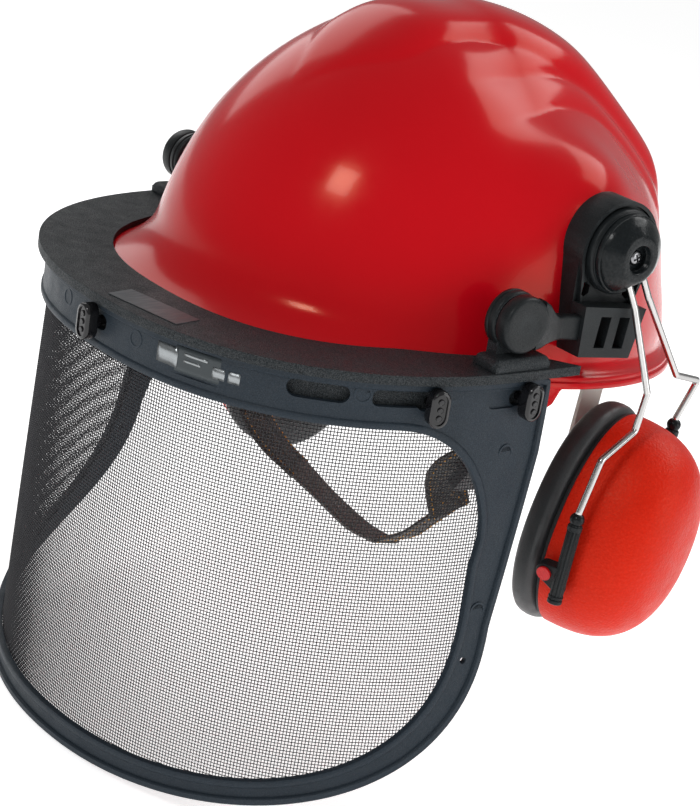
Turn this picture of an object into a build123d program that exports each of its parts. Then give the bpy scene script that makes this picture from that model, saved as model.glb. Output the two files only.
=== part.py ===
"""Forestry helmet: safety shell, head harness, swing-up mesh visor and helmet-mounted ear defenders.

Millimetres. +Z is up, the front of the helmet faces -Y, and the wearer's left is +X.
The origin is the centre of the head opening, level with the lower edge of the shell's side rim.
"""
import math
import os
from build123d import *

os.makedirs("parts", exist_ok=True)

# ---------------------------------------------------------------- driving dimensions
SHELL_A = 106.6          # outside half width of the dome
SHELL_B = 124.2          # outside half length of the dome
SHELL_CY = 6.35          # dome centre, along Y
SHELL_H = 138.0          # dome height above the rim
SHELL_T = 2.6            # wall
RIM_FLARE = 6.0          # the rim stands out this far from the dome
RIM_T = 3.0

PIVOT_X = 118.4          # visor pivot, outboard disc face side
PIVOT_Y = -41.0
PIVOT_Z = 30.4
PIVOT_PIN_R = 2.5
VISOR_LEAN = 5.7         # the visor's lower edge comes in towards the chin

PLAN_A = 122.0           # visor band in plan: a superellipse, half width
PLAN_B = 124.6           # and depth
PLAN_N = 2.3
PLAN_CY = 5.6            # its centre, from the pivot line
FLARE_A = 18.0           # the sheet opens out sideways by this much at its lower edge
FLARE_N = -0.22
FLARE_B = 3.0
BAND_TOP = -22.4         # heights on the visor, from the pivot line
MESH_TOP = -42.6
SHEET_BOTTOM = -217.5
SHEET_T = 2.6            # visor frame sheet
EDGE_S = 213.0           # half length of the band round the curve
FLANGE_T = 4.0
FLANGE_W = 28.0
WALL_T = 2.4             # down-wall of the brow guard, behind the band
CLIP_S = (0.0, 155.0, 199.0)
CLIP_Z = -31.0

HUB_X = 119.4            # ear defender hub: the wires' plane
HUB_Y = 11.4
HUB_Z = 60.5
HUB_R = 18.2             # hub seat
ARCH_R = 21.0            # arched top of the slot adaptor
ARCH_X = 110.7           # its face
BLOCK_X = 119.0          # face of the slot block at its foot
HUB_TURN = 29.7          # the hub is turned this far, arm to the rear

CUP_C = Vector(110.2, 42.4, -60.3)
CUP_N = Vector(0.958, 0.283, -0.041).normalized()
CUP_LEAN = 12.0
CUP_A = 34.4
CUP_B = 48.8
CUP_D = 43.0
WIRE_R = 1.5
SLIDE = Vector(-0.02, 0.02, -1.0).normalized()     # the cups slide down along this
FRONT_END = Vector(134.2, 5.6, -46.5)              # where each wire turns into its straight end
REAR_END = Vector(106.2, 82.6, -16.0)
WIRE_IN = 37.0
FRONT_RIVET = Vector(126.0, 5.5, -75.4)
REAR_RIVET = Vector(98.4, 81.2, -45.0)

BAND_A = 77.5            # headband, outside
BAND_B = 98.0
BAND_CY = 2.0


# ---------------------------------------------------------------- helpers
def save(shape, name):
    shape.label = name
    export_step(shape, "parts/" + name + ".step")


def mirrored(shape):
    return mirror(shape, about=Plane.YZ)


def both(shape, name):
    save(shape, name + "_left")
    save(mirrored(shape), name + "_right")


def box_at(x0, x1, y0, y1, z0, z1):
    return Pos((x0 + x1) / 2, (y0 + y1) / 2, (z0 + z1) / 2) * Box(x1 - x0, y1 - y0, z1 - z0)


def rod_x(r, x0, x1, y, z):
    return Pos((x0 + x1) / 2, y, z) * Rot(0, 90, 0) * Cylinder(r, x1 - x0)


def oval(a, b, z, y=0.0):
    return Pos(0, y, z) * Ellipse(a, b)


def oval_ring(a, b, t, z0, z1, y=0.0):
    face = Pos(0, y, z0) * (Ellipse(a, b) - Ellipse(a - t, b - t))
    return extrude(face, z1 - z0)


def dome(grow):
    k = 100.0
    s = scale(Sphere(k), by=((SHELL_A + grow) / k, (SHELL_B + grow) / k, (SHELL_H + grow) / k))
    return Pos(0, SHELL_CY, 0) * s


# ---------------------------------------------------------------- visor plan curve
def blend(z):
    return max(0.0, (MESH_TOP - z) / (195.0 + MESH_TOP))


def curve(z, off):
    """Points of the visor's plan curve at height z, moved outwards by off, evenly spaced."""
    k = blend(z)
    a = PLAN_A + FLARE_A * k
    b = PLAN_B + FLARE_B * k
    n = PLAN_N + FLARE_N * k
    raw = []
    for i in range(241):
        t = math.radians(90.0 * i / 240.0)
        x = a * math.sin(t) ** (2.0 / n)
        y = PLAN_CY - b * max(math.cos(t), 0.0) ** (2.0 / n)
        raw.append((x, y))
    for i in range(1, 60):
        raw.append((a, PLAN_CY + i))
    out = []
    run = 0.0
    want = 0.0
    step = EDGE_S / 18.0
    for i in range(1, len(raw)):
        x0, y0 = raw[i - 1]
        x1, y1 = raw[i]
        d = math.hypot(x1 - x0, y1 - y0)
        while want <= run + d and len(out) < 20:
            f = (want - run) / d
            nx, ny = (y1 - y0) / d, -(x1 - x0) / d
            if want == 0.0:
                nx, ny = 0.0, -1.0
            out.append((x0 + f * (x1 - x0) + nx * off, y0 + f * (y1 - y0) + ny * off, nx, ny))
            want += step
        run += d
    return out


def at_s(z, s, off=0.0):
    """Position and outward normal at distance s round the curve from the middle."""
    pts = curve(z, off)
    step = EDGE_S / 18.0
    q = abs(s) / step
    i = min(int(q), len(pts) - 2)
    f = q - i
    p = [pts[i][k] + f * (pts[i + 1][k] - pts[i][k]) for k in range(4)]
    sign = -1.0 if s < 0 else 1.0
    return Vector(sign * p[0], p[1], z), Vector(sign * p[2], p[3], 0).normalized()


def section(z, outer, inner):
    o = curve(z, outer)
    i = curve(z, inner)
    po = [(-p[0], p[1], z) for p in reversed(o[1:])] + [(p[0], p[1], z) for p in o]
    pi = [(p[0], p[1], z) for p in reversed(i)] + [(-p[0], p[1], z) for p in i[1:]]
    edges = [Spline(*po), Line(po[-1], pi[0]), Spline(*pi), Line(pi[-1], po[0])]
    return make_face(edges)


def sheet(z0, z1, outer, inner):
    """Curved sheet between two heights of the visor, split where the flare starts."""
    levels = [z0, z1]
    if z0 > MESH_TOP > z1:
        levels = [z0, MESH_TOP, z1]
    solids = []
    for top, low in zip(levels[:-1], levels[1:]):
        solids.append(loft([section(low, outer, inner), section(top, outer, inner)], ruled=True))
    body = solids[0]
    for extra in solids[1:]:
        body = body + extra
    return body


def side_prism(points, front_low, front_top):
    """Prism along X whose outline in the YZ plane follows the listed points, closed ahead of the visor."""
    pts = [(0, p[0], p[1]) for p in points]
    edges = [Spline(*pts)]
    edges.append(Line(pts[-1], (0, pts[-1][1], front_low)))
    edges.append(Line((0, pts[-1][1], front_low), (0, -170, front_low)))
    return edges


def quarter(s0, z0, a, b, m, start, stop, count):
    out = []
    for i in range(count + 1):
        t = math.radians(start + (stop - start) * i / count)
        out.append((s0 + a * math.cos(t) ** (2.0 / m), z0 - b * math.sin(t) ** (2.0 / m)))
    return out


def prism_from(sz, top):
    """Prism along X from outline points given as (distance round the curve, height), top to bottom."""
    yz = []
    for s, z in sz:
        p, _ = at_s(z, s)
        yz.append((0.0, p.Y, z))
    low = yz[-1]
    curve_edge = Spline(*yz)
    edges = [
        curve_edge,
        Line(low, (0, -170, low[2])),
        Line((0, -170, low[2]), (0, -170, top)),
        Line((0, -170, top), (0, yz[0][1], top)),
    ]
    if abs(yz[0][2] - top) > 1e-6:
        edges.append(Line((0, yz[0][1], top), yz[0]))
    face = make_face(edges)
    return extrude(face, 200, both=True, dir=(1, 0, 0))


def outline(inset):
    a = 201.0 - inset
    low = SHEET_BOTTOM + inset
    pts = [(EDGE_S - inset, -50.0), (209.0 - inset, -75.0), (205.0 - inset, -100.0)]
    pts += quarter(0, -125.0, a, -125.0 - low, 2.5, 0.5, 82.0, 12)
    return pts


def opening(grow):
    a = 187.0 + grow
    pts = quarter(143.0, -92.0, 46.0 + grow, -(49.0 + grow), 2.0, 88.0, 4.0, 6)
    pts += quarter(0, -112.0, a, 94.0 + grow, 2.8, 4.0, 82.0, 12)
    return pts


VISOR = Location((0, PIVOT_Y, PIVOT_Z), (VISOR_LEAN, 0, 0))

# ---------------------------------------------------------------- shell
outer = dome(0)
inner = dome(-SHELL_T)
upper = box_at(-160, 160, -180, 180, 0, 200)
shell = (outer - inner) & upper
rim = Pos(0, SHELL_CY, 0) * (
    Ellipse(SHELL_A + RIM_FLARE, SHELL_B + RIM_FLARE) - Ellipse(SHELL_A - SHELL_T, SHELL_B - SHELL_T)
)
shell = shell + extrude(rim, RIM_T)
# crown ribs: one broad centre rib and a narrower one each side
for rib_x, rib_w in ((0.0, 34.0), (-46.0, 12.0), (46.0, 12.0)):
    slab = box_at(rib_x - rib_w / 2, rib_x + rib_w / 2, -60, 128, 78, 150)
    shell = shell + ((dome(2.2) - dome(-1.0)) & slab)
# front skirt and short peak under the brow guard
skirt = oval_ring(SHELL_A, SHELL_B, SHELL_T, -30, 0.5, SHELL_CY)
above_peak = Pos(0, 8, -9.5) * Rot(3, 0, 0) * Pos(0, -100, 50) * Box(400, 200, 100)
skirt = skirt & above_peak & box_at(-200, 200, -200, 8, -30, 0.5)
peak_face = Pos(0, SHELL_CY, 0) * (Ellipse(SHELL_A + RIM_FLARE, 141.0) - Ellipse(SHELL_A - 1.5, SHELL_B - 1.5))
peak = extrude(peak_face, RIM_T)
peak = peak & box_at(-200, 200, -200, SHELL_CY + 2, -1, 4)
peak = Pos(0, 8, -9.5) * Rot(3, 0, 0) * Pos(0, -8, -RIM_T + 1.0) * peak
shell = shell + skirt + peak
# accessory boss on each side, level with the hubs
boss = box_at(96, 107.2, 3, 20, 20, 46) - dome(-1.0)
shell = shell + boss + mirrored(boss)
save(shell, "shell")

# ---------------------------------------------------------------- slot adaptor, visor arm, hub seat
def adaptor_prism(inset, z_low, x0, x1):
    """Arched outline of the slot adaptor, between two distances along X."""
    left = HUB_Y - ARCH_R + inset
    right = HUB_Y + ARCH_R - inset
    foot_l = -3.5 + inset
    foot_r = 26.5 - inset
    outline_edges = Polyline(
        (x0, foot_l, z_low), (x0, foot_r, z_low), (x0, right, HUB_Z), (x0, left, HUB_Z), (x0, foot_l, z_low)
    )
    body = extrude(make_face(outline_edges), x1 - x0, dir=(1, 0, 0))
    return body + rod_x(ARCH_R - inset, x0, x1, HUB_Y, HUB_Z)


adaptor = adaptor_prism(0, 16.4, 84.5, ARCH_X)
block_face = make_face(Polyline((95, -3.5, 16.4), (95, 26.5, 16.4), (95, 29.4, 38), (95, -6.4, 38), (95, -3.5, 16.4)))
adaptor = adaptor + extrude(block_face, BLOCK_X - 95, dir=(1, 0, 0))
lip = adaptor_prism(0, 36.0, ARCH_X - 0.2, ARCH_X + 1.9) - adaptor_prism(1.6, 34.0, ARCH_X - 1, ARCH_X + 3)
adaptor = adaptor + lip
adaptor = adaptor - adaptor_prism(3.0, 12.0, 80.5, ARCH_X - 3.0)
adaptor = adaptor - dome(0.5)
adaptor = adaptor - oval_ring(SHELL_A + 7, SHELL_B + 7, 12, -1, RIM_T + 0.5, SHELL_CY)
for window_y in (7.0, 18.0):
    adaptor = adaptor - box_at(105, 122, window_y - 3.0, window_y + 3.0, 20.5, 34)
for hex_y in (-1.6, 24.4):
    adaptor = adaptor - Pos(110, hex_y, 43) * Rot(0, 90, 0) * extrude(RegularPolygon(3.4, 6), 6, both=True)
adaptor = adaptor - box_at(112.4, 117.3, -12, -0.9, 22.9, 33.5)
both(adaptor, "slot_adaptor")

arm = box_at(112.5, 117.2, -20.0, -1.2, 23.0, 33.4)
arm = arm + box_at(116.9, 119.6, PIVOT_Y, -15.0, 23.0, 33.4) + box_at(112.5, 119.6, -20.5, -15.0, 23.0, 33.4)
arm = arm + rod_x(11.8, 117.0, 124.4, PIVOT_Y, PIVOT_Z)
arm = arm - rod_x(20, 105.0, 116.9, PIVOT_Y, PIVOT_Z) + rod_x(11.8, 117.0, 124.4, PIVOT_Y, PIVOT_Z)
arm = arm - rod_x(PIVOT_PIN_R, 110, 122.0, PIVOT_Y, PIVOT_Z)
both(arm, "visor_arm")

pin = rod_x(PIVOT_PIN_R, 109.4, 122.0, PIVOT_Y, PIVOT_Z) + rod_x(4.2, 108.0, 109.4, PIVOT_Y, PIVOT_Z)
both(pin, "visor_pivot")

seat = rod_x(HUB_R, HUB_X - 8.5, HUB_X - 3.7, HUB_Y, HUB_Z) + rod_x(6.0, HUB_X - 3.8, HUB_X, HUB_Y, HUB_Z)
seat = seat - rod_x(2.0, HUB_X - 11, HUB_X + 3, HUB_Y, HUB_Z)
both(seat, "hub_seat")
screw = rod_x(2.0, HUB_X - 8.0, HUB_X + 4.7, HUB_Y, HUB_Z) + rod_x(4.4, HUB_X + 3.1, HUB_X + 5.4, HUB_Y, HUB_Z)
both(screw, "hub_screw")

# ---------------------------------------------------------------- visor: brow guard, frame, mesh
wall_out = -SHEET_T - 0.4
guard_top = BAND_TOP + FLANGE_T
flange_pts_out = curve(BAND_TOP, 4.0)
out_line = [(-p[0], p[1], 0) for p in reversed(flange_pts_out[1:])] + [(p[0], p[1], 0) for p in flange_pts_out]
inner_half = []
for p in curve(BAND_TOP, -FLANGE_W):
    x, y = p[0], p[1]
    rel = (y + PIVOT_Y - SHELL_CY) / (SHELL_B + RIM_FLARE)
    rim_x = (SHELL_A + RIM_FLARE) * math.sqrt(max(0.0, 1.0 - rel * rel)) + 1.6
    inner_half.append((max(x, rim_x) if y > -75.0 else x, y, 0))
end_y = flange_pts_out[18][1]
keep = [p for p in inner_half if p[1] < end_y - 2.0]
last_rel = (end_y + PIVOT_Y - SHELL_CY) / (SHELL_B + RIM_FLARE)
last_x = (SHELL_A + RIM_FLARE) * math.sqrt(1.0 - last_rel * last_rel) + 1.6
keep.append((last_x, end_y, 0))
in_line = list(reversed(keep)) + [(-p[0], p[1], 0) for p in keep[1:]]
out_line = out_line[:]
flange_face = make_face([
    Spline(*out_line), Line(out_line[-1], in_line[0]), Spline(*in_line), Line(in_line[-1], out_line[0])
])
flange = Pos(0, 0, BAND_TOP) * extrude(flange_face, FLANGE_T)
wall = sheet(BAND_TOP + 1.0, -37.0, wall_out, wall_out - WALL_T)
wall = wall & box_at(-200, 200, -170, 14.0, -60, 0)
guard = flange + wall
lug_plate = box_at(110.6, 116.6, -8.0, 8.0, BAND_TOP + 1, 0) + rod_x(11.4, 110.6, 116.6, 0, 0)
pad = box_at(110.4, 124.5, -14.0, 15.0, BAND_TOP + 1, guard_top + 3.0)
for side in (1, -1):
    piece = lug_plate + pad
    if side < 0:
        piece = mirrored(piece)
    guard = guard + piece
    guard = guard - rod_x(PIVOT_PIN_R + 0.06, side * 117.5 - 10, side * 117.5 + 10, 0, 0)
clip_places = []
for s in CLIP_S:
    for sign in ((1,) if s == 0 else (1, -1)):
        pos, nrm = at_s(CLIP_Z, sign * s)
        clip_places.append((sign * s, pos, nrm))
for s, pos, nrm in clip_places:
    bore = Plane(origin=pos, z_dir=nrm) * Cylinder(2.06, 24)
    guard = guard - bore
save(guard.moved(VISOR), "brow_guard")

frame_body = sheet(BAND_TOP - 0.3, SHEET_BOTTOM, 0.0, -SHEET_T) & prism_from(outline(0), BAND_TOP + 5)
frame_body = frame_body - prism_from(opening(0), MESH_TOP)
bead = sheet(MESH_TOP - 8.0, SHEET_BOTTOM, 1.4, -0.5) & prism_from(outline(0), BAND_TOP + 5)
bead = bead - prism_from(outline(3.2), BAND_TOP + 6)
frame_body = frame_body + bead
rib = sheet(-35.6, -37.0, 1.0, -0.5)
frame_body = frame_body + rib
for s, pos, nrm in clip_places:
    place = Plane(origin=pos, x_dir=Vector(0, 0, 1).cross(nrm), z_dir=nrm)
    frame_body = frame_body - place * extrude(SlotOverall(13.0, 6.6), 8, both=True)
for s in (108.5, -108.5):
    pos, nrm = at_s(-29.3, s)
    place = Plane(origin=pos, x_dir=Vector(0, 0, 1).cross(nrm), z_dir=nrm)
    frame_body = frame_body - place * extrude(SlotOverall(25.0, 7.6), 8, both=True)
save(frame_body.moved(VISOR), "visor_frame")

mesh_body = sheet(MESH_TOP + 4.0, SHEET_BOTTOM + 4, -SHEET_T - 0.15, -SHEET_T - 0.5)
mesh_body = mesh_body & prism_from(opening(5.0), MESH_TOP + 3.5)
save(mesh_body.moved(VISOR), "visor_mesh")

names = {0.0: "centre", 155.0: "mid_left", -155.0: "mid_right", 199.0: "outer_left", -199.0: "outer_right"}
for s, pos, nrm in clip_places:
    place = Plane(origin=pos, x_dir=Vector(0, 0, 1).cross(nrm), z_dir=nrm)
    clip = Pos(0, 0, 5.2) * extrude(SlotOverall(15.6, 8.6), 3.0, both=True)
    clip = Rot(0, 0, 90) * clip + Pos(0, 0, -1.6) * Cylinder(2.0, 9.0)
    clip = clip + Pos(0, 0, 1.6) * Cylinder(3.0, 2.4)
    save((place * clip).moved(VISOR), "turn_clip_" + names[s])

label = sheet(-25.4, -34.9, 0.35, 0.05) & box_at(35.5, 76.5, -170, -60, -60, 0)
save(label.moved(VISOR), "band_label")
pos, nrm = at_s(BAND_TOP, 24.0, -9.0)
plaque = Pos(pos.X, pos.Y, guard_top + 0.2) * Rot(0, 0, 10) * Box(40, 13, 0.3)
save(plaque.moved(VISOR), "brow_label")

# ---------------------------------------------------------------- ear defenders
hub_frame = Location((0, HUB_Y, HUB_Z), (HUB_TURN, 0, 0))
cap_face = make_face(Polyline(
    (6.08, -3.4), (HUB_R - 1.0, -3.4), (HUB_R - 1.0, -1.6), (15.6, 1.2), (10.4, 4.8), (9.4, 5.4),
    (6.08, 5.4), (6.08, -3.4)
))
cap = Pos(HUB_X, 0, 0) * Rot(0, 90, 0) * revolve(Plane.XZ * cap_face, axis=Axis.Z)
cap = cap - rod_x(6.08, HUB_X - 13, HUB_X + 2.9, 0, 0) - rod_x(4.7, HUB_X - 5, HUB_X + 12, 0, 0)
cap = cap - box_at(HUB_X - 5, HUB_X + 17, -30, 30, -40, -11.0)
cap = cap - box_at(HUB_X - 2.8, HUB_X + 3.2, -10.5, 10.5, -40, -6.6)
both(cap.moved(hub_frame), "hub_cap")


def wire(points, radius, bend):
    line = FilletPolyline(*points, radius=bend)
    start = Plane(origin=line @ 0, z_dir=line % 0)
    return sweep(start * Circle(radius), path=line)


def in_hub(x, y, z):
    return (hub_frame * Location((x, y, z))).position


front_low = FRONT_END + SLIDE * WIRE_IN
rear_low = REAR_END + SLIDE * WIRE_IN
front_pts = [in_hub(HUB_X, -4.0, -9.4), in_hub(HUB_X + 2.6, -4.2, -22.0), Vector(130.4, 31.0, 5.0),
             Vector(130.8, 29.5, -12.0), Vector(134.2, 10.2, -23.0), FRONT_END, front_low]
rear_pts = [in_hub(HUB_X, 4.0, -9.4), in_hub(HUB_X + 1.6, 4.6, -22.0), Vector(120.6, 57.4, 9.6),
            Vector(108.0, 87.8, 2.7), REAR_END, rear_low]
yoke_front = wire(front_pts, WIRE_R, 2.6)
yoke_rear = wire(rear_pts, WIRE_R, 2.6)
cross = Cylinder(2.0, 12.0)
cross = (hub_frame * Location((HUB_X, 0, -9.2), (90, 0, 0))) * cross
yoke = yoke_front + yoke_rear + cross
both(yoke, "yoke_wires")

cup_w = Vector(0, math.sin(math.radians(CUP_LEAN)), math.cos(math.radians(CUP_LEAN)))
cup_w = (cup_w - CUP_N * cup_w.dot(CUP_N)).normalized()
cup_u = cup_w.cross(CUP_N).normalized()
CUP = Plane(origin=CUP_C, x_dir=cup_u, z_dir=CUP_N)


def cup_form(shrink, z_start, z_end):
    levels = []
    for i in range(7):
        z = z_start + (z_end - z_start) * math.sin(math.radians(90.0 * i / 6.0))
        k = max(0.0, 1.0 - (z / (CUP_D - shrink + 1.5)) ** 2.6) ** (1.0 / 2.6) if z > 0 else 1.0
        levels.append(Pos(0, 0, z) * Ellipse((CUP_A - shrink) * k, (CUP_B - shrink) * k))
    return loft(levels)


cup = cup_form(0, 0.4, CUP_D) - cup_form(2.6, 0.0, CUP_D - 3.0)
both(CUP * cup, "ear_cup")
inner_plate = Pos(0, 0, -1.6) * extrude(Ellipse(CUP_A - 0.2, CUP_B - 0.2) - Ellipse(19, 32), 1.7)
both(CUP * inner_plate, "seal_plate")
cushion = extrude(Ellipse(36.8, 50.4) - Ellipse(18.5, 31.5), 12.9)
cushion = fillet(cushion.edges(), 4.5)
cushion = Pos(0, 0, -14.9) * cushion
both(CUP * cushion, "ear_cushion")
foam = Pos(0, 0, 21.0) * extrude(Ellipse(23, 37), 7.0)
both(CUP * foam, "cup_foam")


def holder(end, along0, along1, rivet, outward):
    mid = end + SLIDE * ((along0 + along1) / 2)
    place = Plane(origin=mid, x_dir=outward.cross(SLIDE).normalized(), z_dir=SLIDE)
    bar = place * (Cylinder(4.1, along1 - along0))
    reach = place.to_local_coords(rivet)
    tab = place * box_at(min(reach.X, 0) - 0.5, max(reach.X, 0) + 0.5, -3.0, 3.0, reach.Z - 5, reach.Z + 5)
    eye = Plane(origin=rivet, z_dir=pivot_dir) * Cylinder(4.6, 5.0)
    body = bar + tab + eye
    bore = Plane(origin=mid, z_dir=SLIDE) * Cylinder(WIRE_R + 0.06, along1 - along0 + 4)
    body = body - bore
    return body - Plane(origin=rivet, z_dir=pivot_dir) * Cylinder(2.06, 40)


pivot_dir = (REAR_RIVET - FRONT_RIVET).normalized()
front_holder = holder(FRONT_END, 5.0, 41.0, FRONT_RIVET, CUP_N)
rear_holder = holder(REAR_END, 5.0, 41.0, REAR_RIVET, CUP_N)
form = CUP * cup_form(-0.5, 0.4, CUP_D + 1.0)
form = form + CUP * (Pos(0, 0, -16.5) * extrude(Ellipse(37.3, 50.9), 17.0))
front_holder = front_holder - form
rear_holder = rear_holder - form


def biggest(shape):
    return sorted(shape.solids(), key=lambda s: s.volume)[-1]


both(biggest(front_holder), "front_holder")
both(biggest(rear_holder), "rear_holder")
caps = []
for end, at in ((FRONT_END, 2.9), (REAR_END, 2.9)):
    bead_c = end + SLIDE * at
    ball = Plane(origin=bead_c, z_dir=SLIDE) * (Sphere(4.6) & Pos(0, 0, -0.4) * Box(12, 12, 4.6))
    caps.append(ball - Plane(origin=bead_c, z_dir=SLIDE) * Cylinder(WIRE_R + 0.06, 12))
both(Compound(children=caps), "holder_caps")
rivets = []
for spot, sign in ((FRONT_RIVET, -1), (REAR_RIVET, 1)):
    place = Plane(origin=spot, z_dir=pivot_dir * sign)
    body = place * (Pos(0, 0, -0.6) * Cylinder(2.0, 7.0) + Pos(0, 0, 3.4) * Cylinder(3.2, 1.6))
    rivets.append(biggest(body - form))
both(Compound(children=rivets), "cup_rivets")

# ---------------------------------------------------------------- head harness
band = oval_ring(BAND_A, BAND_B, 1.8, -6, 26, BAND_CY) - box_at(-46, 46, 20, 200, -60, 60)
band = band + oval_ring(BAND_A, BAND_B, 1.8, 12, 26, BAND_CY)
save(band, "headband")
sweat = oval_ring(BAND_A - 2.2, BAND_B - 2.2, 3.0, -3, 23, BAND_CY) & box_at(-200, 200, -200, -10, -60, 60)
save(sweat, "sweatband")
strap_face = Ellipse(104.6, 98.0) - Ellipse(103.0, 96.4)
long_strap = extrude(Plane.YZ * strap_face, 10.0, both=True) & box_at(-60, 60, -200, 200, 19, 200)
long_strap = Pos(0, BAND_CY, 0) * long_strap
save(long_strap, "crown_strap_long")
cross_straps = []
for y0 in (-28.0, 24.0):
    ring = Plane.XZ * (Ellipse(81.0, 99.9) - Ellipse(79.4, 98.3))
    piece = Pos(0, y0, 0) * extrude(ring, 10.0, both=True)
    cross_straps.append(piece & box_at(-200, 200, -200, 200, 19, 200))
save(Compound(children=cross_straps), "crown_straps_cross")
anchors = []
for side, ay in ((1, -28), (1, 24), (-1, -28), (-1, 24)):
    block = box_at(min(side * 80, side * 106), max(side * 80, side * 106), ay - 8, ay + 8, 8, 16)
    stem = box_at(min(side * 80, side * 83), max(side * 80, side * 83), ay - 8, ay + 8, 2, 30)
    anchors.append((block + stem) & dome(-SHELL_T - 0.3))
for side in (1, -1):
    y0 = BAND_CY + side * 104.2
    y1 = BAND_CY + side * 135
    y2 = BAND_CY + side * 107.2
    block = box_at(-9, 9, min(y0, y1), max(y0, y1), 14, 20)
    stem = box_at(-9, 9, min(y0, y2), max(y0, y2), 12, 30)
    anchors.append((block + stem) & dome(-SHELL_T - 0.3))
save(Compound(children=anchors), "harness_anchors")
hangers = []
for side in (1, -1):
    x0 = side * 84.0
    leg = box_at(min(x0, x0 + side * 2), max(x0, x0 + side * 2), 42, 54, -44, 14)
    foot = box_at(min(x0, x0 + side * 14), max(x0, x0 + side * 14), 42, 54, 8, 14)
    hangers.append((leg + foot) - (box_at(-200, 200, -200, 200, 0, 40) - dome(-SHELL_T - 0.3)))
save(Compound(children=hangers), "strap_hangers")

tail = oval_ring(BAND_A + 2.2, BAND_B + 2.2, 1.8, -9, 5, BAND_CY) & box_at(3, 200, 45, 200, -60, 60)
both(tail, "nape_strap")
housing = box_at(-24, 24, 99.4, 112.5, -13, 9)
housing = fillet(housing.edges().filter_by(Axis.Y), 3.0)
housing = housing - box_at(-30, 30, 90, 109.0, -10.5, 6.5)
housing = housing - Pos(0, 110, -2) * Rot(90, 0, 0) * Cylinder(3.06, 14)
save(housing, "ratchet_housing")
knob = Pos(0, 119.0, -2) * Rot(90, 0, 0) * Cylinder(13.0, 11.0)
for i in range(12):
    angle = math.radians(30 * i)
    groove = Pos(13.6 * math.cos(angle), 119.0, -2 + 13.6 * math.sin(angle)) * Rot(90, 0, 0)
    knob = knob - groove * Cylinder(1.8, 14)
knob = knob + Pos(0, 110.4, -2) * Rot(90, 0, 0) * Cylinder(3.0, 8.0)
save(knob, "ratchet_knob")

# ---------------------------------------------------------------- chin strap


def ribbon(points, thick, y0, y1):
    line = Spline(*[(p[0], 0, p[1]) for p in points])
    left = []
    right = []
    for i in range(25):
        p = line.position_at(i / 24.0)
        t = line.tangent_at(i / 24.0)
        left.append((p.X - t.Z * thick / 2, y0, p.Z + t.X * thick / 2))
        right.append((p.X + t.Z * thick / 2, y0, p.Z - t.X * thick / 2))
    right.reverse()
    face = make_face([
        Spline(*left), Line(left[-1], right[0]), Spline(*right), Line(right[-1], left[0])
    ])
    return extrude(face, y1 - y0, dir=(0, 1, 0))


def slider(points, at, y):
    line = Spline(*[(p[0], 0, p[1]) for p in points])
    p = line.position_at(at)
    place = Plane(origin=(p.X, y, p.Z), x_dir=line.tangent_at(at), z_dir=(0, 1, 0))
    return place * (Box(13, 5.8, 26) - Box(20, 3.0, 21))


left_path = [(90, 4), (88, -22), (78, -50), (61, -74), (41, -95), (24, -104)]
right_path = [(-90, 4), (-87, -26), (-78, -56), (-64, -82), (-50, -96)]
chin_path = [(-54, -90), (-36, -105.5), (-12, -112.5), (12, -112), (32, -103)]
save(ribbon(left_path, 2.0, -7, 13), "chin_strap_left")
save(ribbon(right_path, 2.0, -7, 13), "chin_strap_right")
save(ribbon(chin_path, 2.0, 15, 29), "chin_band")
save(Compound(children=[slider(left_path, 0.45, 3), slider(right_path, 0.5, 3)]), "strap_sliders")
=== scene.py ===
"""Forestry helmet: the visual model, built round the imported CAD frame.

The scene is in metres. Lengths in this file are in millimetres unless a comment says otherwise.
"""
import math

import bmesh
import bpy
from mathutils import Matrix, Vector


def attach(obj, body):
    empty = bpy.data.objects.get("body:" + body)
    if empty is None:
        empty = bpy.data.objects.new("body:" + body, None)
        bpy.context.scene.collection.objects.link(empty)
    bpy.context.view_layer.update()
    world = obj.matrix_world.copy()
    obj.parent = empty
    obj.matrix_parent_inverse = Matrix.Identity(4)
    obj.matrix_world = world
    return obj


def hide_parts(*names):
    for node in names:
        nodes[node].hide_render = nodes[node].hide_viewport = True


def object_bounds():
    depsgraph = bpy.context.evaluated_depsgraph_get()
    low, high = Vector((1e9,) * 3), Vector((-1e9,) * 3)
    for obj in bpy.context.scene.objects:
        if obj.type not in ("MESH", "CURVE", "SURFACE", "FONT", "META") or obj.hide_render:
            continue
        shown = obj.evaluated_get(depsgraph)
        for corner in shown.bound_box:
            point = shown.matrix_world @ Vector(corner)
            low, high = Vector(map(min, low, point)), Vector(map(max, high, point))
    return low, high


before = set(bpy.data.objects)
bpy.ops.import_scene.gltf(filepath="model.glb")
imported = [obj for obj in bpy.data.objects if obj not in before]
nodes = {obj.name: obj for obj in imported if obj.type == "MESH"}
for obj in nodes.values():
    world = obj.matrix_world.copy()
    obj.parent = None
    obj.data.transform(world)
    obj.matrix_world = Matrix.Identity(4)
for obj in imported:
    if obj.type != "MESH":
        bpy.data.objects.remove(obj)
cad_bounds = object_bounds()
MM = 0.001

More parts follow.
